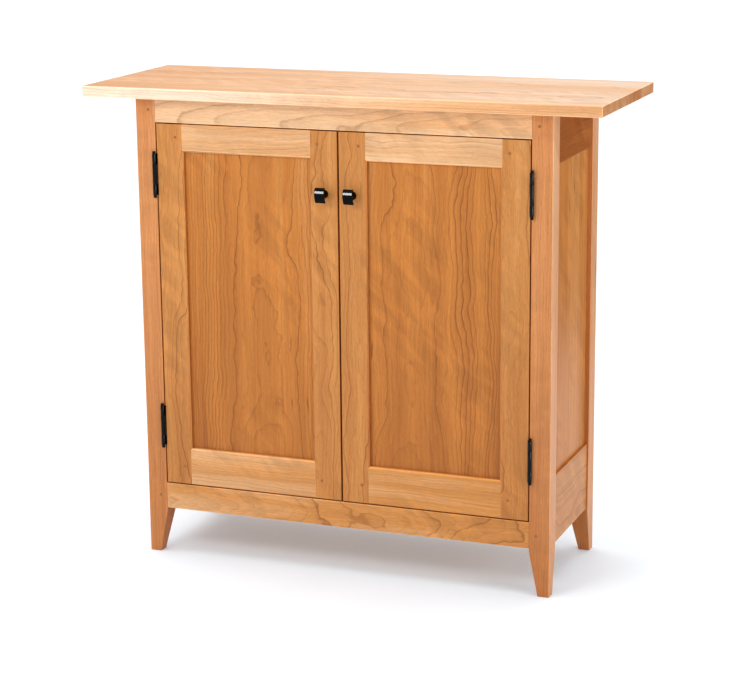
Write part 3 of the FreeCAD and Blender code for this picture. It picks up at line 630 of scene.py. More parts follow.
def write_grain(mesh, axes, start, reach, log_of, wave, facing_light_and_shade=None):
    """Writes the attributes of the finish; log_of gives the log that a face was cut from, and
    the last argument has, by axis or signed axis, the painted light and shade that is added to the
    two ends of the tone of faces that look along it."""
    length, width, thick = axes
    places, tones, ends, eased = [], [], [], []
    marks = mesh.attributes.get("eased")
    for face in mesh.polygons:
        log = log_of(face)
        tone = tone_of(face, log["tone"], facing_light_and_shade or {})
        # The bevel round a panel opening gets a painted highlight, strongest where it faces up towards the
        # overhead light
        on_bevel = BEVEL_SLOPE[0] < abs(face.normal[thick]) < BEVEL_SLOPE[1]
        bevel_highlight = BEVEL_HIGHLIGHT + BEVEL_HIGHLIGHT_UPWARD * face.normal.z if on_bevel else 0.0
        for corner in face.loop_indices:
            at = mesh.vertices[mesh.loops[corner].vertex_index].co
            along = at[length] - start
            places += [along + log["start"], at[width] - log["across"],
                       at[thick] - log["behind"] - log["fall"] * along]
            tones.append(tone[0] + (tone[1] - tone[0]) * along / reach)
            ends.append(1.0 if abs(face.normal[length]) > END_GRAIN_SLOPE else 0.0)
            eased.append(max(float(marks.data[face.index].value) if marks else 0.0, bevel_highlight))
    if marks:
        mesh.attributes.remove(marks)
    waves = [wave] * len(tones)
    mesh.attributes.new("log_place", "FLOAT_VECTOR", "CORNER").data.foreach_set("vector", places)
    for name, values in (("board_tone", tones), ("board_wave", waves), ("end_grain", ends),
                         ("eased_edge", eased)):
        mesh.attributes.new(name, "FLOAT", "CORNER").data.foreach_set("value", values)


print("end grain: faces within", round(math.degrees(math.acos(END_GRAIN_SLOPE))), "degrees of the grain")


# %% Saw a board
LOG_START = (2, 60)          # m along the log, where a board may begin
STAVE_STEP = 7.3             # m along the log, from one stave to the next
STAVE_WANDER = (20, 12)      # mm by which the heart of a stave may be off, across and behind
STAVE_TONE = 0.25            # by which the tone of a stave may be off
chance = random.Random(11)


def saw(node, grain, heart, tone=(0.0, 0.0), staves=1, slot="cherry_frame", wave=1.0, start=None, finish=None,
        facing_light_and_shade=None, eased=EASE, runout=0.0):
    """Dresses a copy of a CAD board. heart is (across, behind) in mm from the middle of the board,
    tone is that of its lower or left end and of its other end, and runout is how fast the heart
    draws away from the board towards that other end."""
    low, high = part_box(node)
    length, width, thick = board_axes(low, high, grain)
    work = cleaned_copy(node)
    ease(work, node, eased)
    stave_width = (high[width] - low[width]) / staves
    for seam in range(1, staves):
        point, normal = Vector((0, 0, 0)), Vector((0, 0, 0))
        point[width] = low[width] + seam * stave_width
        normal[width] = 1.0
        bmesh.ops.bisect_plane(work, geom=work.verts[:] + work.edges[:] + work.faces[:],
                               plane_co=point, plane_no=normal)
    board = finish_piece(work, node + "_board", node, cherry[finish or slot])
    begin = chance.uniform(*LOG_START) if start is None else start
    logs = []
    for stave in range(staves):
        side = 1 if stave % 2 == 0 else -1
        wander = (0.0, 0.0) if staves == 1 else [chance.uniform(-most, most) for most in STAVE_WANDER]
        shift = chance.uniform(-STAVE_TONE, STAVE_TONE)
        middle = low[width] + (stave + 0.5) * stave_width
        logs.append({
            "start": begin + STAVE_STEP * stave,
            "across": middle + (side * heart[0] + wander[0]) * MM,
            "behind": (low[thick] + high[thick]) / 2 + (heart[1] + wander[1]) * MM,
            "fall": math.copysign(1.0, heart[1]) * runout,
            "tone": [end + (shift if staves > 1 else 0.0) for end in tone],
        })

    def log_of(face):
        """The log of the stave that a face lies in."""
        index = int((face.center[width] - low[width]) / stave_width)
        return logs[min(max(index, 0), staves - 1)]

    write_grain(board.data, (length, width, thick), low[length], high[length] - low[length], log_of, wave,
                facing_light_and_shade)
    return board


print("staves begin", STAVE_STEP, "m apart in their logs")


# %% [markdown]
# ## The case
# The legs are cut from straight-grained stock, with the heart off one corner, so both outer
# faces show the same quiet lines. The front rails are flat sawn and a little askew to the log, so
# the rings run out of the face as a row of pointed arches, to the right on the lower rail and to
# the left on the pale upper one. The top is four staves, glued edge to edge, and is the palest.

# %% Saw the case
TOP_EASE, LEG_EASE = 1.6 * MM, 1.2 * MM
# The top's edges that look forward and back get painted light and shade in their tone, paler at the left end
# and deeper at the right
saw("top", "X", (30, -130), (0.25, -0.55), staves=4, slot="cherry_top", wave=0.6,
    facing_light_and_shade={"Y": (-1.6, 0.9)}, eased=TOP_EASE)
saw("front_top_rail", "X", (-14, 84), (-1.05, -0.75), wave=0.4, start=21.4, runout=-0.05)
saw("front_bottom_rail", "X", (-6, 92), (-0.35, 0.15), wave=0.9, start=36.4, runout=0.085)
saw("back_top_rail", "X", (50, -110), (0.0, 0.1), wave=0.6)
saw("back_bottom_rail", "X", (-45, -120), (0.1, 0.2), wave=0.7)
# Upright boards are deeper in tone at their lower ends: painted shade, darker towards the floor
saw("back_stile", "Z", (60, -60), (0.2, 0.0))
for side, way, leg_tone in (("right", 1, (0.55, 0.05)), ("left", -1, (0.25, -0.15))):
    # The outer faces of a leg are painted paler as lit faces, and those that look into a door gap or the case
    # are painted deeper as shade
    outward, inward = ("+X", "-X") if way > 0 else ("-X", "+X")
    leg_light_and_shade = {outward: (-0.6, -0.7), inward: (0.9, 0.9)}
    for leg, behind in (("_front_leg", 140), ("_rear_leg", -140)):
        saw(side + leg, "Z", (-way * 120, behind), leg_tone, wave=0.6, finish="cherry_leg",
            facing_light_and_shade=leg_light_and_shade, eased=LEG_EASE)
    # The upper side rails take the deep panel finish at full tone: painted shade under the overhang of the
    # top
    saw(side + "_side_top_rail", "Y", (60, -way * 90), (1.0, 0.8), wave=0.5, finish="cherry_panel")
    saw(side + "_side_bottom_rail", "Y", (-45, -way * 110), (0.35, 0.35), wave=0.6)
    saw(side + "_side_panel", "Z", (38, -way * 120), (0.15, -0.1), staves=2, slot="cherry_panel", wave=0.5)
    saw(side + "_back_panel", "Z", (45, -120), (0.15, 0.0), staves=3, slot="cherry_panel", wave=0.5)
    saw(side + "_floor_cleat", "Y", (40, 90), (0.2, 0.2), slot="cherry_inside")
saw("cabinet_floor", "X", (20, 160), (0.0, 0.0), staves=3, slot="cherry_inside")
saw("lower_shelf", "X", (15, -160), (-0.1, 0.0), staves=3, slot="cherry_inside")
saw("upper_shelf", "X", (25, -170), (0.1, 0.0), staves=3, slot="cherry_inside")
saw("door_stop", "X", (30, 60), (0.2, 0.2), slot="cherry_inside")
saw("top_buttons", "X", (40, 40), (0.3, 0.3), slot="cherry_inside")


# %% [markdown]
# ## The doors
# Stiles run the full height and the rails sit between them, so the grain changes direction at
# each joint. That change is what makes a frame read as joined boards. The panels are flat sawn
# and show arches. They are a little deeper in colour, as wide boards from near the heart are.

# %% Saw the doors
# Upright door boards are deeper in tone at their lower ends: painted shade, darker towards the floor
for side, way in (("right", 1), ("left", -1)):
    # The sides of the stiles, which look into the door gaps, are painted deeper: painted shade in the gaps
    saw(side + "_door_hinge_stile", "Z", (-way * 45, 110), (0.5, 0.05), wave=0.9,
        facing_light_and_shade={"X": (0.8, 0.8)})
    saw(side + "_door_meeting_stile", "Z", (way * 40, 110), (0.35, 0.2), wave=0.9,
        facing_light_and_shade={"X": (1.2, 1.2)})
    saw(side + "_door_top_rail", "X", (60, 90), (-0.6, -0.5), wave=0.6)
saw("right_door_bottom_rail", "X", (-90, 80), (-0.1, 0.1), wave=0.5)
saw("left_door_bottom_rail", "X", (-90, 80), (-0.4, -0.2), wave=0.5)
saw("right_door_panel", "Z", (-40, 150), (0.45, 0.05), slot="cherry_panel", wave=0.9, start=41.0)
saw("left_door_panel", "Z", (30, 150), (0.4, -0.05), slot="cherry_panel", wave=0.8, start=12.0)


# %% [markdown]
# ## Blackened steel
# Hinges and knobs are steel with a black oxide. It keeps a little of the metal's gloss, so a
# strip of light draws a clear band on the rounded parts while the rest stays near black. The
# oxide covers the steel like a thin enamel, so it isn't set as bare metal. Screws and shelf pins
# that nobody sees from outside are plain zinc plated steel.

# %% Metal finishes
POLISH_SHADE = (0.9, 1.1)    # how much darker and lighter an uneven polish is


def worn_metal(name, colour, metallic, roughness, grain_mm, gloss=0.5):
    """Metal with a finely uneven polish; roughness is a span, grain_mm is the size of its brightest
    marks, and gloss is the specular level of the oxide where the metal isn't bare."""
    material = bpy.data.materials.new(name)
    material.use_nodes = True
    tree = material.node_tree
    tree.nodes.clear()
    where = add(tree, "ShaderNodeTexCoord").outputs["Object"]
    marks = add(tree, "ShaderNodeTexNoise", None,
                {"Vector": where, "Scale": 1.0 / (grain_mm * MM), "Detail": 4.0})
    rough = add(tree, "ShaderNodeMapRange", None,
                {"Value": marks.outputs[0], **remap(NOISE_SPAN, roughness)})
    tint = add(tree, "ShaderNodeMapRange", None,
               {"Value": marks.outputs[0], **remap(NOISE_SPAN, POLISH_SHADE)})
    shade = add(tree, "ShaderNodeVectorMath", {"operation": "SCALE"},
                {0: linear(colour)[:3], "Scale": tint.outputs[0]})
    surface = add(tree, "ShaderNodeBsdfPrincipled", None,
                  {"Base Color": shade.outputs[0], "Roughness": rough.outputs[0], "Metallic": metallic,
                   "Specular IOR Level": gloss})
    add(tree, "ShaderNodeOutputMaterial", None, {"Surface": surface.outputs[0]})
    return material


metals = {
    "black_hinge": worn_metal("black_oxide_hinge", "#0A0909", metallic=0.0, roughness=(0.26, 0.32),
                              grain_mm=4.0, gloss=0.12),
    "black_knob": worn_metal("black_oxide_knob", "#060505", metallic=0.0, roughness=(0.08, 0.12),
                             grain_mm=5.0, gloss=0.06),
    "zinc_steel": worn_metal("zinc_plated_steel", "#B9BBBD", metallic=1.0, roughness=(0.30, 0.42),
                             grain_mm=3.0),
    "magnet": worn_metal("nickel_plated_magnet", "#C9C7C2", metallic=1.0, roughness=(0.18, 0.28),
                         grain_mm=6.0),
}
print("metals:", sorted(metals))


# %% [markdown]
# ## Hinge leaves, magnets and strike plates
# These are stamped and ground, so their corners are only just broken. A copy of each CAD node is
# merged, its sharp convex edges get a tiny two-step bevel, and its knuckles are shaded smooth
# while true corners stay crisp. Keeping the CAD shape makes sure that the knuckles still mesh.

# %% Break the corners of the metal plates
PLATE_CORNER_TURN = 40       # degrees, more than from one flat of a knuckle to the next
SHORTEST_CORNER = 0.3 * MM
KNUCKLE_TURN = 30            # degrees; a true corner turns by more
LEAF_ROUND, STRIKE_ROUND, MAGNET_ROUND = 0.25 * MM, 0.3 * MM, 0.4 * MM


def shade_smooth(mesh, corner_degrees):
    """Smooth shading, but for corners that turn by more than so many degrees."""
    mesh.shade_smooth()
    mesh.set_sharp_from_angle(angle=math.radians(corner_degrees))


def break_corners(node, width, slot):
    """Dresses a copy of a CAD plate, with its corners rounded by so many metres."""
    work = cleaned_copy(node)
    corners = [edge for edge in work.edges
               if is_arris(edge, PLATE_CORNER_TURN) and edge.calc_length() > SHORTEST_CORNER]
    round_off(work, corners, width)
    piece = finish_piece(work, node + "_metal", node, metals[slot])
    shade_smooth(piece.data, KNUCKLE_TURN)


for side in ("right_", "left_"):
    break_corners(side + "leg_hinge_leaves", LEAF_ROUND, "black_hinge")
    break_corners(side + "door_hinge_leaves", LEAF_ROUND, "black_hinge")
    break_corners(side + "strike_plate", STRIKE_ROUND, "zinc_steel")
break_corners("stop_magnets", MAGNET_ROUND, "magnet")


# %% [markdown]
# ## A lathe
# Pins, pegs, stems and screws are all turned, so one helper makes them: it takes an outline of
# radius and height, spins it round Z, and closes both ends. Points with no radius become poles.
# The cylinder of a stock mesh would have hard flat ends and no way to add a neck or a dome.

# %% The lathe
def turned(outline, sides):
    """Closed turned shape as a bmesh, from (radius, height) points in mm going up."""
    work = bmesh.new()
    turns = [2 * math.pi * (index + 0.5) / sides for index in range(sides)]
    rounds = []
    for radius, height in outline:
        if radius == 0:
            rounds.append([work.verts.new((0, 0, height * MM))])
        else:
            rounds.append([work.verts.new((radius * MM * math.cos(t), radius * MM * math.sin(t), height * MM))
                           for t in turns])
    for lower, upper in zip(rounds, rounds[1:]):
        for index in range(sides):
            after = (index + 1) % sides
            corners = [lower[index % len(lower)], lower[after % len(lower)],
                       upper[after % len(upper)], upper[index % len(upper)]]
            work.faces.new(list(dict.fromkeys(corners)))
    if len(rounds[0]) > 1:
        work.faces.new(rounds[0][::-1])
    if len(rounds[-1]) > 1:
        work.faces.new(rounds[-1])
    bmesh.ops.recalc_face_normals(work, faces=work.faces[:])
    return work


test_piece = turned([(1, 0), (1, 2), (0, 3)], 12)
print("lathe test, faces:", len(test_piece.faces))
test_piece.free()


# %% [markdown]
# ## Knobs
# Each knob is an arched plate on a turned stem. The plate is bent from flat bar: it stands
# upright at a crest one third down, where a strip of light draws a bright band, and falls back
# above and below in two arcs. It is swept here along those arcs and its rim is rounded. The stem
# flares to a wide foot where it bears on the door.

# %% The arched plate of a knob
def box_side(node, end, axis):
    """Where the low (0) or high (1) side of a node's box lies along an axis, in mm."""
    return round(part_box(node)[end][AXES[axis]] / MM, 3)


def box_middle(node):
    """The middle of a node's box, in mm."""
    return [round((low + high) / 2 / MM, 3) for low, high in zip(*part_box(node))]


PLATE_WIDTH = box_side("right_knob", 1, "X") - box_side("right_knob", 0, "X")
PLATE_HEIGHT = box_side("right_knob", 1, "Z") - box_side("right_knob", 0, "Z")
CREST_STANDS_OUT = box_side("right_knob", 1, "Y") - box_side("right_knob", 0, "Y")
CREST_FROM_TOP = PLATE_HEIGHT / 3
PLATE_THICKNESS = 3.4
TOP_FALLS_BACK, FOOT_FALLS_BACK = 5.3, 5.8
ARC_STEPS = 14
RIM_ROUND = 0.8
RIM_ROW = 1.2                # from the rim to the next row of points
RIM_TURN = 50                # degrees


def plate_arcs(front):
    """(y, z) points in mm down one face of the plate, z measured from the middle of the knob."""
    crest = PLATE_HEIGHT / 2 - CREST_FROM_TOP
    points = []
    for way, rise, fall in ((1, CREST_FROM_TOP, TOP_FALLS_BACK),
                            (-1, PLATE_HEIGHT - CREST_FROM_TOP, FOOT_FALLS_BACK)):
        radius = (rise * rise + fall * fall) / (2 * fall)
        sweep = math.asin(rise / radius)
        turns = [sweep * step / ARC_STEPS for step in range(ARC_STEPS + 1)]
        arc = [(front + radius * (1 - math.cos(t)), crest + way * radius * math.sin(t)) for t in turns]
        points += arc[:0:-1] if way > 0 else arc
    return points


def knob_plate():
    """The plate as a bmesh, with the door's face at y = 0 and the middle of the knob at z = 0."""
    work = bmesh.new()
    outline = plate_arcs(-CREST_STANDS_OUT) + plate_arcs(PLATE_THICKNESS - CREST_STANDS_OUT)[::-1]
    # The rows next to the edges keep the shading of the broad face from bending towards the round
    half = PLATE_WIDTH / 2
    rows = [[work.verts.new((x * MM, y * MM, z * MM)) for y, z in outline]
            for x in (-half, RIM_ROW - half, half - RIM_ROW, half)]
    for left, right in zip(rows, rows[1:]):
        for index in range(len(outline)):
            after = (index + 1) % len(outline)
            work.faces.new((left[index], left[after], right[after], right[index]))
    for rim in (rows[0], rows[-1]):
        work.faces.new(rim)
    bmesh.ops.recalc_face_normals(work, faces=work.faces[:])
    round_off(work, [edge for edge in work.edges if is_arris(edge, RIM_TURN)], RIM_ROUND * MM, steps=3)
    return work


print("knob plate, mm:", round(PLATE_WIDTH, 1), "wide and", round(PLATE_HEIGHT, 1), "high")


# %% The stem, and the whole knob
STEM_FOOT, STEM_NECK = 8.0, 4.5          # radii
FOOT_ROUND = 0.4
FLARE_START, FLARE_END, FLARE_STEPS = 1.6, 13.0, 8
STEM_INTO_PLATE = 1.2
KNOB_TURN = 35               # degrees; a corner of a knob turns by more


def knob_stem():
    """The turned stem as a bmesh, standing out from the door towards -Y."""
    outline = [(STEM_FOOT - FOOT_ROUND, 0.0), (STEM_FOOT, 0.5), (STEM_FOOT, FLARE_START)]
    for step in range(1, FLARE_STEPS + 1):
        share = step / FLARE_STEPS
        outline.append((STEM_NECK + (STEM_FOOT - STEM_NECK) * (1 - share) ** 1.5,
                        FLARE_START + (FLARE_END - FLARE_START) * share))
    outline.append((STEM_NECK, CREST_STANDS_OUT - PLATE_THICKNESS + STEM_INTO_PLATE))
    stem = turned(outline, 40)
    stem.transform(Matrix.Rotation(math.radians(90), 4, "X"))
    return stem


def knob(node):
    """A plate and a stem as one piece in the place of a CAD knob."""
    x, _, z = box_middle(node)
    work = knob_plate()
    stem = knob_stem()
    stem_mesh = bpy.data.meshes.new("stem")
    stem.to_mesh(stem_mesh)
    stem.free()
    work.from_mesh(stem_mesh)
    bpy.data.meshes.remove(stem_mesh)
    work.transform(Matrix.Translation(Vector((x, box_side(node, 1, "Y"), z)) * MM))
    piece = finish_piece(work, node + "_turned", node, metals["black_knob"])
    shade_smooth(piece.data, KNOB_TURN)
    return piece


for side in ("right_", "left_"):
    made = knob(side + "knob")
    print(made.name, "faces:", len(made.data.polygons))


# %% [markdown]
# ## Setting out what repeats
# Screws, pegs and pins are the same small part at many places, which is what Geometry Nodes are
# for. The tree below takes a little mesh whose vertices are the places, with the way each part
# faces as an attribute. It puts a copy of the part on each vertex, aims it, turns it about its
# own axis by a random amount, because no two screws stop at the same turn, and then makes the
# copies real and gives them their finish. Placing them by hand in a loop would work too, but the
# tree keeps the part, its size and its turn as inputs that can be changed.

# %% The set-out tree
def set_out_tree():
    """Puts a copy of a part on each place, aims it, turns it at random and gives it its finish."""
    tree = new_tree(
        "set_out", "GeometryNodeTree",
        [("Places", "NodeSocketGeometry", None), ("Part", "NodeSocketObject", None),
         ("Size", "NodeSocketFloat", 1.0), ("Turn", "NodeSocketFloat", math.pi), ("Seed", "NodeSocketInt", 3),
         ("Finish", "NodeSocketMaterial", None)],
        [("Copies", "NodeSocketGeometry")],
    )
    given = add(tree, "NodeGroupInput").outputs
    part = add(tree, "GeometryNodeObjectInfo", {"transform_space": "ORIGINAL"}, {"Object": given["Part"]})
    facing = add(tree, "GeometryNodeInputNamedAttribute", {"data_type": "FLOAT_VECTOR"}, {"Name": "facing"})
    aim = add(tree, "FunctionNodeAlignRotationToVector", {"axis": "Z"}, {"Vector": facing.outputs[0]})
    back = add(tree, "ShaderNodeMath", {"operation": "MULTIPLY"}, {0: given["Turn"], 1: -1.0})
    # Sockets 2 and 3 are the least and greatest of the decimal kind of random value
    angle = add(tree, "FunctionNodeRandomValue", {"data_type": "FLOAT"},
                {2: back.outputs[0], 3: given["Turn"], "Seed": given["Seed"]})
    spin = add(tree, "FunctionNodeAxisAngleToRotation", None,
               {"Axis": (0.0, 0.0, 1.0), "Angle": angle.outputs[1]})
    turn = add(tree, "FunctionNodeRotateRotation", {"rotation_space": "LOCAL"},
               {"Rotation": aim.outputs[0], "Rotate By": spin.outputs[0]})
    copies = add(tree, "GeometryNodeInstanceOnPoints", None,
                 {"Points": given["Places"], "Instance": part.outputs["Geometry"],
                  "Rotation": turn.outputs[0], "Scale": given["Size"]})
    real = add(tree, "GeometryNodeRealizeInstances", None, {"Geometry": copies.outputs[0]})
    finished = add(tree, "GeometryNodeSetMaterial", None,
                   {"Geometry": real.outputs[0], "Material": given["Finish"]})
    add(tree, "NodeGroupOutput", None, {"Copies": finished.outputs[0]})
    return tree


set_out = set_out_tree()
print("set-out tree:", len(set_out.nodes), "nodes")


# %% Make a part, find its places and put copies there
PART_TURN = 35               # degrees; a corner of a small part turns by more
PEG_HOLE_HALF = 2.5          # half the width of a peg hole, mm


def as_part(work, name):
    """A turned part as a pattern object for the tree, to be removed after its last use."""
    mesh = bpy.data.meshes.new(name)
    work.to_mesh(mesh)
    work.free()
    shade_smooth(mesh, PART_TURN)
    part = bpy.data.objects.new(name, mesh)
    bpy.context.scene.collection.objects.link(part)
    return part


def middles(node, half):
    """The x, y and z values, in mm and those nearest the centre first, at which the outermost parts
    of a node have their middles; half is half the width of a part."""
    low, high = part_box(node)
    return [sorted((round(a / MM + half, 3), round(b / MM - half, 3)), key=abs) for a, b in zip(low, high)]


def place_parts(name, part, places, body, material, node=None, size=1.0, turn=math.pi, seed=3):
    """Puts the part at (point in mm, facing) places and returns one plain mesh piece of a body."""
    mesh = bpy.data.meshes.new(name + "_places")
    mesh.from_pydata([[side * MM for side in point] for point, facing in places], [], [])
    facings = [side for point, facing in places for side in facing]
    mesh.attributes.new("facing", "FLOAT_VECTOR", "POINT").data.foreach_set("vector", facings)
    host = bpy.data.objects.new(name, mesh)
    bpy.context.scene.collection.objects.link(host)
    modifier = host.modifiers.new("set_out", "NODES")
    modifier.node_group = set_out
    values = {"Part": part, "Size": size, "Turn": turn, "Seed": seed, "Finish": material}
    for socket in set_out.interface.items_tree:
        if socket.in_out == "INPUT" and socket.name in values:
            modifier[socket.identifier] = values[socket.name]
    seen = host.evaluated_get(bpy.context.evaluated_depsgraph_get())
    made = bpy.data.meshes.new_from_object(seen)
    host.modifiers.clear()
    host.data = made
    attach(host, body)
    if node:
        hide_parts(node)
    return host


print("pegs of the legs at x, mm:", middles("leg_pegs", PEG_HOLE_HALF)[0])


# %% [markdown]
# ## Pegs
# A peg through each mortise and tenon is driven flush and then trimmed, so it shows as a small
# dark dot of end grain, standing a hair proud as the wood around it shrinks. The heads are
# turned with a slightly domed face that just covers the eight-sided hole.

# %% Turn and drive the pegs
PEG_RADIUS, PEG_PROUD = 2.85, 0.22
PEG_CORE, PEG_LENGTH = 2.75, 16.0
PEG_APART = 20 * MM          # faces nearer than this belong to one peg
FRONT = (0.0, -1.0, 0.0)
ACROSS_PEGS = (AXES["Y"], AXES["X"], AXES["Z"])          # pegs lie along Y
door_front = box_side("right_door_top_rail", 0, "Y")


def peg_log(face):
    """Each peg is split from a place of its own in the log."""
    return {"start": 5.0 + 3.1 * round(face.center.x / PEG_APART), "across": 20 * MM, "behind": 10 * MM,
            "fall": 0.0, "tone": (0.1, 0.1)}


peg = as_part(turned([(PEG_CORE, -PEG_LENGTH), (PEG_CORE, -0.6), (PEG_RADIUS, -0.1), (PEG_RADIUS, 0.02),
                      (PEG_RADIUS * 0.9, 0.12), (PEG_RADIUS * 0.55, PEG_PROUD), (0.0, PEG_PROUD + 0.03)],
                     20), "peg_pattern")
for what, body in (("leg", "case"), ("right_door", "right_door"), ("left_door", "left_door")):
    peg_xs, _, peg_zs = middles(what + "_pegs", PEG_HOLE_HALF)
    spots = [((x, door_front, z), FRONT) for x in peg_xs for z in peg_zs]
    heads = place_parts(what + "_peg_heads", peg, spots, body, cherry["cherry_peg"],
                        what + "_pegs")
    write_grain(heads.data, ACROSS_PEGS, 0.0, 1.0, peg_log, 0.5)
    print(heads.name, len(spots))
bpy.data.objects.remove(peg)


# %% [markdown]
# ## Hinge pins with ball tips
# The loose pin of each hinge ends in a squat turned ball above and below the knuckles. The balls
# are what tells this hinge from a plain one, even at a distance, so the pin is turned in fine
# steps: core, a small collar on the knuckle, a narrow neck, then a ball squared a little so that
# it is as broad as the knuckles.

# %% Turn the hinge pins
HINGE_HEIGHT, PIN_RADIUS = 76.0, 1.5
COLLAR_RADIUS, COLLAR_TOP = 2.9, 0.42    # heights are from the end of the knuckles
NECK_RADIUS, NECK_TOP = 2.3, 0.6
TIP_RADIUS, TIP_TOP = 3.09, 4.95
TIP_SQUARENESS = 3.2         # 2 would be a true ball
TIP_STEPS = 16
hinge_zs = middles("right_door_hinge_leaves", HINGE_HEIGHT / 2)[2]
axis_x, axis_y, _ = (round(place / MM, 3) for place in frame["joints"][0]["pos_m"])


def pin_outline():
    """The pin from tip to tip, as (radius, height) points in mm from its middle."""
    half = HINGE_HEIGHT / 2
    upper = [(PIN_RADIUS, half - 0.01), (COLLAR_RADIUS, half + 0.02), (COLLAR_RADIUS, half + COLLAR_TOP),
             (NECK_RADIUS, half + NECK_TOP)]
    middle, rise = half + (NECK_TOP + TIP_TOP) / 2, (TIP_TOP - NECK_TOP) / 2
    for step in range(1, TIP_STEPS):
        turn = math.pi * (step / TIP_STEPS - 0.5)
        radius = TIP_RADIUS * math.cos(turn) ** (2 / TIP_SQUARENESS)
        height = math.copysign(abs(math.sin(turn)) ** (2 / TIP_SQUARENESS), turn) * rise
        if radius > NECK_RADIUS or turn > 0:
            upper.append((radius, middle + height))
    upper.append((0.0, half + TIP_TOP))
    return [(radius, -height) for radius, height in reversed(upper)] + upper


pin = as_part(turned(pin_outline(), 28), "hinge_pin_pattern")
for side, way in (("right", 1), ("left", -1)):
    spots = [((way * abs(axis_x), axis_y, z), (0.0, 0.0, 1.0)) for z in hinge_zs]
    place_parts(side + "_hinge_pins_turned", pin, spots, "case", metals["black_hinge"],
                side + "_hinge_pins")
bpy.data.objects.remove(pin)
print("hinges at z, mm:", hinge_zs)


# %% [markdown]
# ## Screws
# A countersunk cross-head screw is a low dome with a cross sunk into it. The cross is cut as real
# geometry, because a painted one would vanish on the exported mesh. Its walls lean inwards to a
# smaller cross at the bottom, as the driver's tip does.

# %% Make one screw head
SCREW_RADIUS, SCREW_DOME = 3.1, 0.22
SCREW_ARM, SCREW_ARM_HALF = 0.55, 0.15   # of the cross, for a radius of 1
SCREW_DEEP, SCREW_TAPER = 0.4, 0.7


def screw_head(radius, dome):
    """Cross-head screw, in mm; z = 0 is the surface that it is driven into."""
    work = turned([(radius - 0.3, -1.4), (radius, -0.1), (radius, 0.03), (radius * 0.86, dome)], 24)
    top_face = max(work.faces, key=lambda face: face.calc_center_median().z)
    rim = top_face.edges[:]
    bmesh.ops.delete(work, geom=[top_face], context="FACES_ONLY")
    arm, half = radius * SCREW_ARM, radius * SCREW_ARM_HALF
    cross = [(arm, -half), (arm, half), (half, half), (half, arm), (-half, arm), (-half, half),
             (-arm, half), (-arm, -half), (-half, -half), (-half, -arm), (half, -arm), (half, -half)]
    upper = [work.verts.new((x * MM, y * MM, dome * MM)) for x, y in cross]
    deep = dome - radius * SCREW_DEEP
    lower = [work.verts.new((x * MM * SCREW_TAPER, y * MM * SCREW_TAPER, deep * MM)) for x, y in cross]
    following = [(index, (index + 1) % len(cross)) for index in range(len(cross))]
    mouth = [work.edges.new((upper[index], upper[after])) for index, after in following]
    bmesh.ops.triangle_fill(work, edges=rim + mouth, use_beauty=True)
    for index, after in following:
        work.faces.new((upper[index], upper[after], lower[after], lower[index]))
    work.faces.new(lower)
    bmesh.ops.recalc_face_normals(work, faces=work.faces[:])
    return work


screw = as_part(screw_head(SCREW_RADIUS, SCREW_DOME), "screw_pattern")
print("screw faces:", len(screw.data.polygons))


# %% [markdown]
# ## Where the screws go
# Three screws hold each hinge leaf, staggered so that they don't split the wood along one line.
# Others hold the wooden buttons under the top, the door stop, the strike plates, the shelf
# cleats and the knobs, which are drawn tight from inside the doors.

# %% Screws of the case
LEAF_SCREWS = ((-27.0, 7.0), (0.0, 12.0), (27.0, 7.0))    # up the leaf and back from the door's front, mm
BUTTON_SCREWS = [(x, y) for x in (-180.0, 180.0) for y in (-106.0, 103.0)]
BUTTON_SCREWS += [(x, y) for x in (-350.0, 350.0) for y in (-52.0, 52.0)]
STOP_SCREWS_X, STOP_SCREWS_Z = (-55.0, 0.0, 55.0), 832.0
CLEAT_SCREWS_Y = (-80.0, 0.0, 80.0)
DOWN, BACK = (0.0, 0.0, -1.0), (0.0, 1.0, 0.0)


def hinge_spots(x, facing):
    """Where the screws of one leaf of both hinges of a door go, on a face at x."""
    return [((x, door_front + back, z + up), facing) for z in hinge_zs for up, back in LEAF_SCREWS]


leg_inner = box_side("right_front_leg", 0, "X")
button_low = box_side("top_buttons", 0, "Z")
stop_back = box_side("door_stop", 1, "Y")
cleat_inner, cleat_z = box_side("right_floor_cleat", 0, "X"), box_middle("right_floor_cleat")[2]
leaf_spots = hinge_spots(leg_inner, (-1.0, 0.0, 0.0)) + hinge_spots(-leg_inner, (1.0, 0.0, 0.0))
place_parts("leg_leaf_screws", screw, leaf_spots, "case", metals["black_hinge"], seed=5)
case_spots = [((x, y, button_low), DOWN) for x, y in BUTTON_SCREWS]
case_spots += [((x, stop_back, STOP_SCREWS_Z), BACK) for x in STOP_SCREWS_X]
case_spots += [((way * cleat_inner, y, cleat_z), (-way, 0.0, 0.0)) for way in (-1, 1) for y in CLEAT_SCREWS_Y]
place_parts("case_screws", screw, case_spots, "case", metals["zinc_steel"], size=1.2, seed=6)
print("screws of the case:", len(leaf_spots) + len(case_spots))


# %% Screws of the doors
STRIKE_HALF = 9.0            # from the middle of a strike plate to each of its two screws, mm
stile_outer = box_side("right_door_hinge_stile", 1, "X")
door_back = box_side("right_door_hinge_stile", 1, "Y")
knob_x, _, knob_z = box_middle("right_knob")
strike_z = box_middle("right_strike_plate")[2]
for side, way in (("right", 1), ("left", -1)):
    door = side + "_door"
    place_parts(door + "_leaf_screws", screw, hinge_spots(way * stile_outer, (way, 0.0, 0.0)), door,
                metals["black_hinge"], seed=7)
    place_parts(side + "_knob_screw", screw, [((way * knob_x, door_back, knob_z), BACK)], door,
                metals["zinc_steel"], size=1.5, seed=8)
    strike_spots = [((way * knob_x + x, door_back, strike_z), BACK) for x in (-STRIKE_HALF, STRIKE_HALF)]
    place_parts(side + "_strike_screws", screw, strike_spots, door, metals["zinc_steel"],
                size=0.55, seed=9)
bpy.data.objects.remove(screw)
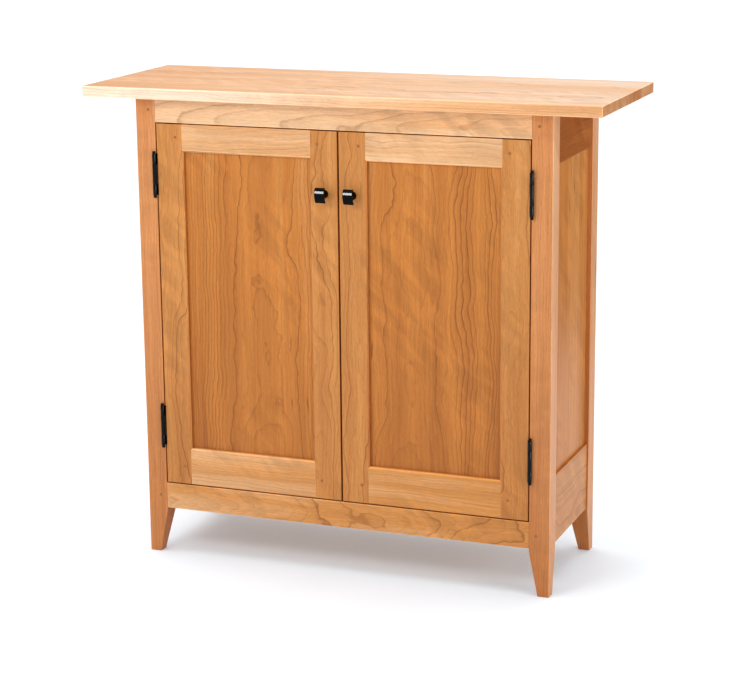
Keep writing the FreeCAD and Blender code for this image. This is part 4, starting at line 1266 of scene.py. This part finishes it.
print("screws of each door:", len(LEAF_SCREWS) * len(hinge_zs) + 1 + len(strike_spots))


# %% [markdown]
# ## Shelf pins
# Each shelf rests on four steel pins, pushed into the rows of holes in the inner faces of the
# legs. Their ends are chamfered, so that they find the hole.

# %% Turn the shelf pins
SHELF_PIN_RADIUS = 2.5
shelf_pin = as_part(turned([(1.9, -9.0), (SHELF_PIN_RADIUS, -8.3), (SHELF_PIN_RADIUS, 8.2), (2.1, 8.85),
                            (0.0, 9.0)], 28), "shelf_pin_pattern")
_, pin_ys, pin_zs = middles("shelf_pins", SHELF_PIN_RADIUS)
spots = [((way * leg_inner, y, z), (-way, 0.0, 0.0)) for way in (-1, 1) for y in pin_ys for z in pin_zs]
place_parts("shelf_pins_turned", shelf_pin, spots, "case", metals["zinc_steel"], "shelf_pins")
bpy.data.objects.remove(shelf_pin)
print("shelf pins:", len(spots))


# %% [markdown]
# ## The studio
# The cabinet stands on a seamless white floor. The main light is a broad softbox, high on the
# left of the front, so each knob throws a soft shadow to the right. A wide overhead light whitens
# the floor and the top and leaves the space under the case in shade, and a larger softbox,
# farther off, opens up the right side. The floor is a white acrylic sheet, lit faintly from below
# with cool light, which lifts the shade under the case and cancels some of the warm light that
# the cherry throws on it. The surround is white to the eye but gives less light than it shows, or
# it would wash out the wood.

# %% The floor
FLOOR_REACH = 60.0           # metres, so that the floor fills the picture from every side
FLOOR_CLOUDS = 6.0           # how often its faint clouds repeat in a metre
FLOOR_GLOW = 0.15


def studio_floor():
    """White acrylic floor, very faintly cloudy, with a faint cool glow."""
    material = bpy.data.materials.new("white_studio_floor")
    material.use_nodes = True
    tree = material.node_tree
    tree.nodes.clear()
    where = add(tree, "ShaderNodeTexCoord").outputs["Object"]
    clouds = add(tree, "ShaderNodeTexNoise", None, {"Vector": where, "Scale": FLOOR_CLOUDS, "Detail": 3.0})
    white = stops(add(tree, "ShaderNodeValToRGB", None, {0: clouds.outputs[0]}),
                  [(NOISE_SPAN[0], linear("#EDF3F7")), (NOISE_SPAN[1], linear("#F0F6FA"))])
    surface = add(tree, "ShaderNodeBsdfPrincipled", None,
                  {"Base Color": white.outputs[0], "Roughness": 0.9, "Specular IOR Level": 0.1,
                   "Emission Color": linear("#CCE4FF"), "Emission Strength": FLOOR_GLOW})
    add(tree, "ShaderNodeOutputMaterial", None, {"Surface": surface.outputs[0]})
    mesh = bpy.data.meshes.new("studio_floor")
    corners = [(x * FLOOR_REACH, y * FLOOR_REACH, 0) for x, y in ((-1, -1), (1, -1), (1, 1), (-1, 1))]
    mesh.from_pydata(corners, [], [(0, 1, 2, 3)])
    mesh.materials.append(material)
    floor = bpy.data.objects.new("studio_floor", mesh)
    bpy.context.scene.collection.objects.link(floor)
    floor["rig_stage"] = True
    return floor


print("floor, m:", round(studio_floor().dimensions.x), "wide")


# %% The lights
def aimed(name, light, place, target):
    """A lamp at a place, turned towards its target, that the camera doesn't see."""
    lamp = bpy.data.objects.new(name, light)
    lamp.location = place
    lamp.rotation_euler = (Vector(target) - Vector(place)).to_track_quat("-Z", "Y").to_euler()
    lamp.visible_camera = False
    bpy.context.scene.collection.objects.link(lamp)
    lamp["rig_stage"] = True
    return lamp


def softbox(name, place, target, size, power):
    """A softbox of (width, height) in metres and so many watts."""
    light = bpy.data.lights.new(name, "AREA")
    light.shape = "RECTANGLE"
    light.size, light.size_y = size
    light.energy = power
    return aimed(name, light, place, target)


def overhead(name, place, strength, spread):
    """A light of so many degrees of sky over the set, as strong far out as in the middle."""
    light = bpy.data.lights.new(name, "SUN")
    light.energy = strength
    light.angle = math.radians(spread)
    return aimed(name, light, place, (0, 0, 0))


key = softbox("key_softbox", (-0.60, -1.60, 1.55), (0.0, -0.15, 0.70), size=(0.8, 0.5), power=9.2)
# A light this near would burn a white spot into the oiled top, so reflections leave it out
key.visible_glossy = False
softbox("right_softbox", (2.9, -0.9, 1.1), (0.35, 0, 0.4), size=(1.2, 1.2), power=14)
overhead("overhead", (-0.4, 0.25, 2.4), strength=1.40, spread=60)


# %% The surround
SURROUND_LIGHT = 0.72        # for each unit that the camera sees
world = bpy.data.worlds.new("white_surround")
world.use_nodes = True
sky = world.node_tree
sky.nodes.clear()
seen_directly = add(sky, "ShaderNodeLightPath").outputs["Is Camera Ray"]
strength = add(sky, "ShaderNodeMapRange", None,
               {"Value": seen_directly, **remap((0.0, 1.0), (SURROUND_LIGHT, 1.0))})
surround = add(sky, "ShaderNodeBackground", None,
               {"Color": linear("#FFFFFF"), "Strength": strength.outputs[0]})
add(sky, "ShaderNodeOutputWorld", None, {"Surface": surround.outputs[0]})
bpy.context.scene.world = world
bpy.context.scene.view_settings.view_transform = "Standard"
print("surround:", world.name)


# %% [markdown]
# ## What shiny surfaces reflect
# A photographer also shapes what shiny surfaces reflect. A black card behind the right side
# keeps the white surround out of the oiled side panel, so that its colour stays deep. Two strips
# of light for the dark metal alone draw the band on each knob and the line on each hinge. Light
# linking keeps each strip to its own pieces, where a real studio would need flags and patience.

# %% The black card
CARD_LEFT, CARD_RIGHT, CARD_BEHIND, CARD_HEIGHT = 0.2, 2.4, 1.7, 1.8


def reflected_card(name, corners):
    """A card that only reflections see: it throws no shadow and lights nothing."""
    material = bpy.data.materials.new("black_velvet")
    material.use_nodes = True
    cloth = material.node_tree.nodes["Principled BSDF"].inputs
    cloth["Base Color"].default_value = linear("#050505")
    cloth["Specular IOR Level"].default_value = 0.0
    mesh = bpy.data.meshes.new(name)
    mesh.from_pydata(corners, [], [(0, 1, 2, 3)])
    mesh.materials.append(material)
    card = bpy.data.objects.new(name, mesh)
    card.visible_camera = card.visible_diffuse = card.visible_shadow = card.visible_transmission = False
    bpy.context.scene.collection.objects.link(card)
    card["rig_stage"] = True


reflected_card("black_card", [(CARD_LEFT, CARD_BEHIND, 0.0), (CARD_RIGHT, CARD_BEHIND, 0.0),
                              (CARD_RIGHT, CARD_BEHIND, CARD_HEIGHT), (CARD_LEFT, CARD_BEHIND, CARD_HEIGHT)])
print("black card, m:", CARD_RIGHT - CARD_LEFT, "by", CARD_HEIGHT)


# %% The strips for the metal
def light_only(strip, metal, flagged=None):
    """Keeps a strip of light to the gloss of the pieces of one finish, less one that is flagged off."""
    dark_metal = bpy.data.collections.new(strip.name + "_pieces")
    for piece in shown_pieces():
        if piece.name != flagged and piece.data.materials and piece.data.materials[0] == metal:
            dark_metal.objects.link(piece)
    strip.visible_diffuse = False
    strip.light_linking.receiver_collection = dark_metal


knob_strip = softbox("knob_strip", (-0.57, -1.60, 1.06), (0.0, -0.17, 0.70), size=(0.40, 1.1), power=190)
light_only(knob_strip, metals["black_knob"])
hinge_strip = softbox("hinge_strip", (2.60, -0.90, 0.60), (0.36, -0.15, 0.50), size=(0.90, 1.6), power=100)
# The left door's knuckles turn a flat side to this strip, which would shine as a grey patch
light_only(hinge_strip, metals["black_hinge"], flagged="left_door_hinge_leaves_metal")


# %% [markdown]
# ## The camera
# The photograph was taken from the right of the front, a little above the top. The lens and the
# place were worked out from the corners of the case.

# %% Set up the camera
PICTURE_WIDTH = 750          # pixels
LENS_PIXELS = 2150           # the focal length in pixels
SENSOR_WIDTH_MM = 36.0
CAMERA_PLACE = (1.402, -3.620, 1.353)
YAW, PITCH, ROLL = math.radians(21.02), math.radians(-13.74), math.radians(-0.53)
lens = bpy.data.cameras.new("camera")
lens.sensor_width = SENSOR_WIDTH_MM
lens.lens = LENS_PIXELS / PICTURE_WIDTH * SENSOR_WIDTH_MM
lens.clip_end = 200.0
camera = bpy.data.objects.new("camera", lens)
bpy.context.scene.collection.objects.link(camera)
forward = Vector((-math.sin(YAW) * math.cos(PITCH), math.cos(YAW) * math.cos(PITCH), math.sin(PITCH)))
level = Vector((math.cos(YAW), math.sin(YAW), 0.0))
upright = level.cross(forward)
right = level * math.cos(ROLL) + upright * math.sin(ROLL)
up = right.cross(forward)
turn = Matrix((right, up, -forward)).transposed().to_4x4()
camera.matrix_world = Matrix.Translation(CAMERA_PLACE) @ turn
bpy.context.scene.camera = camera
print("lens, mm:", round(lens.lens, 1))
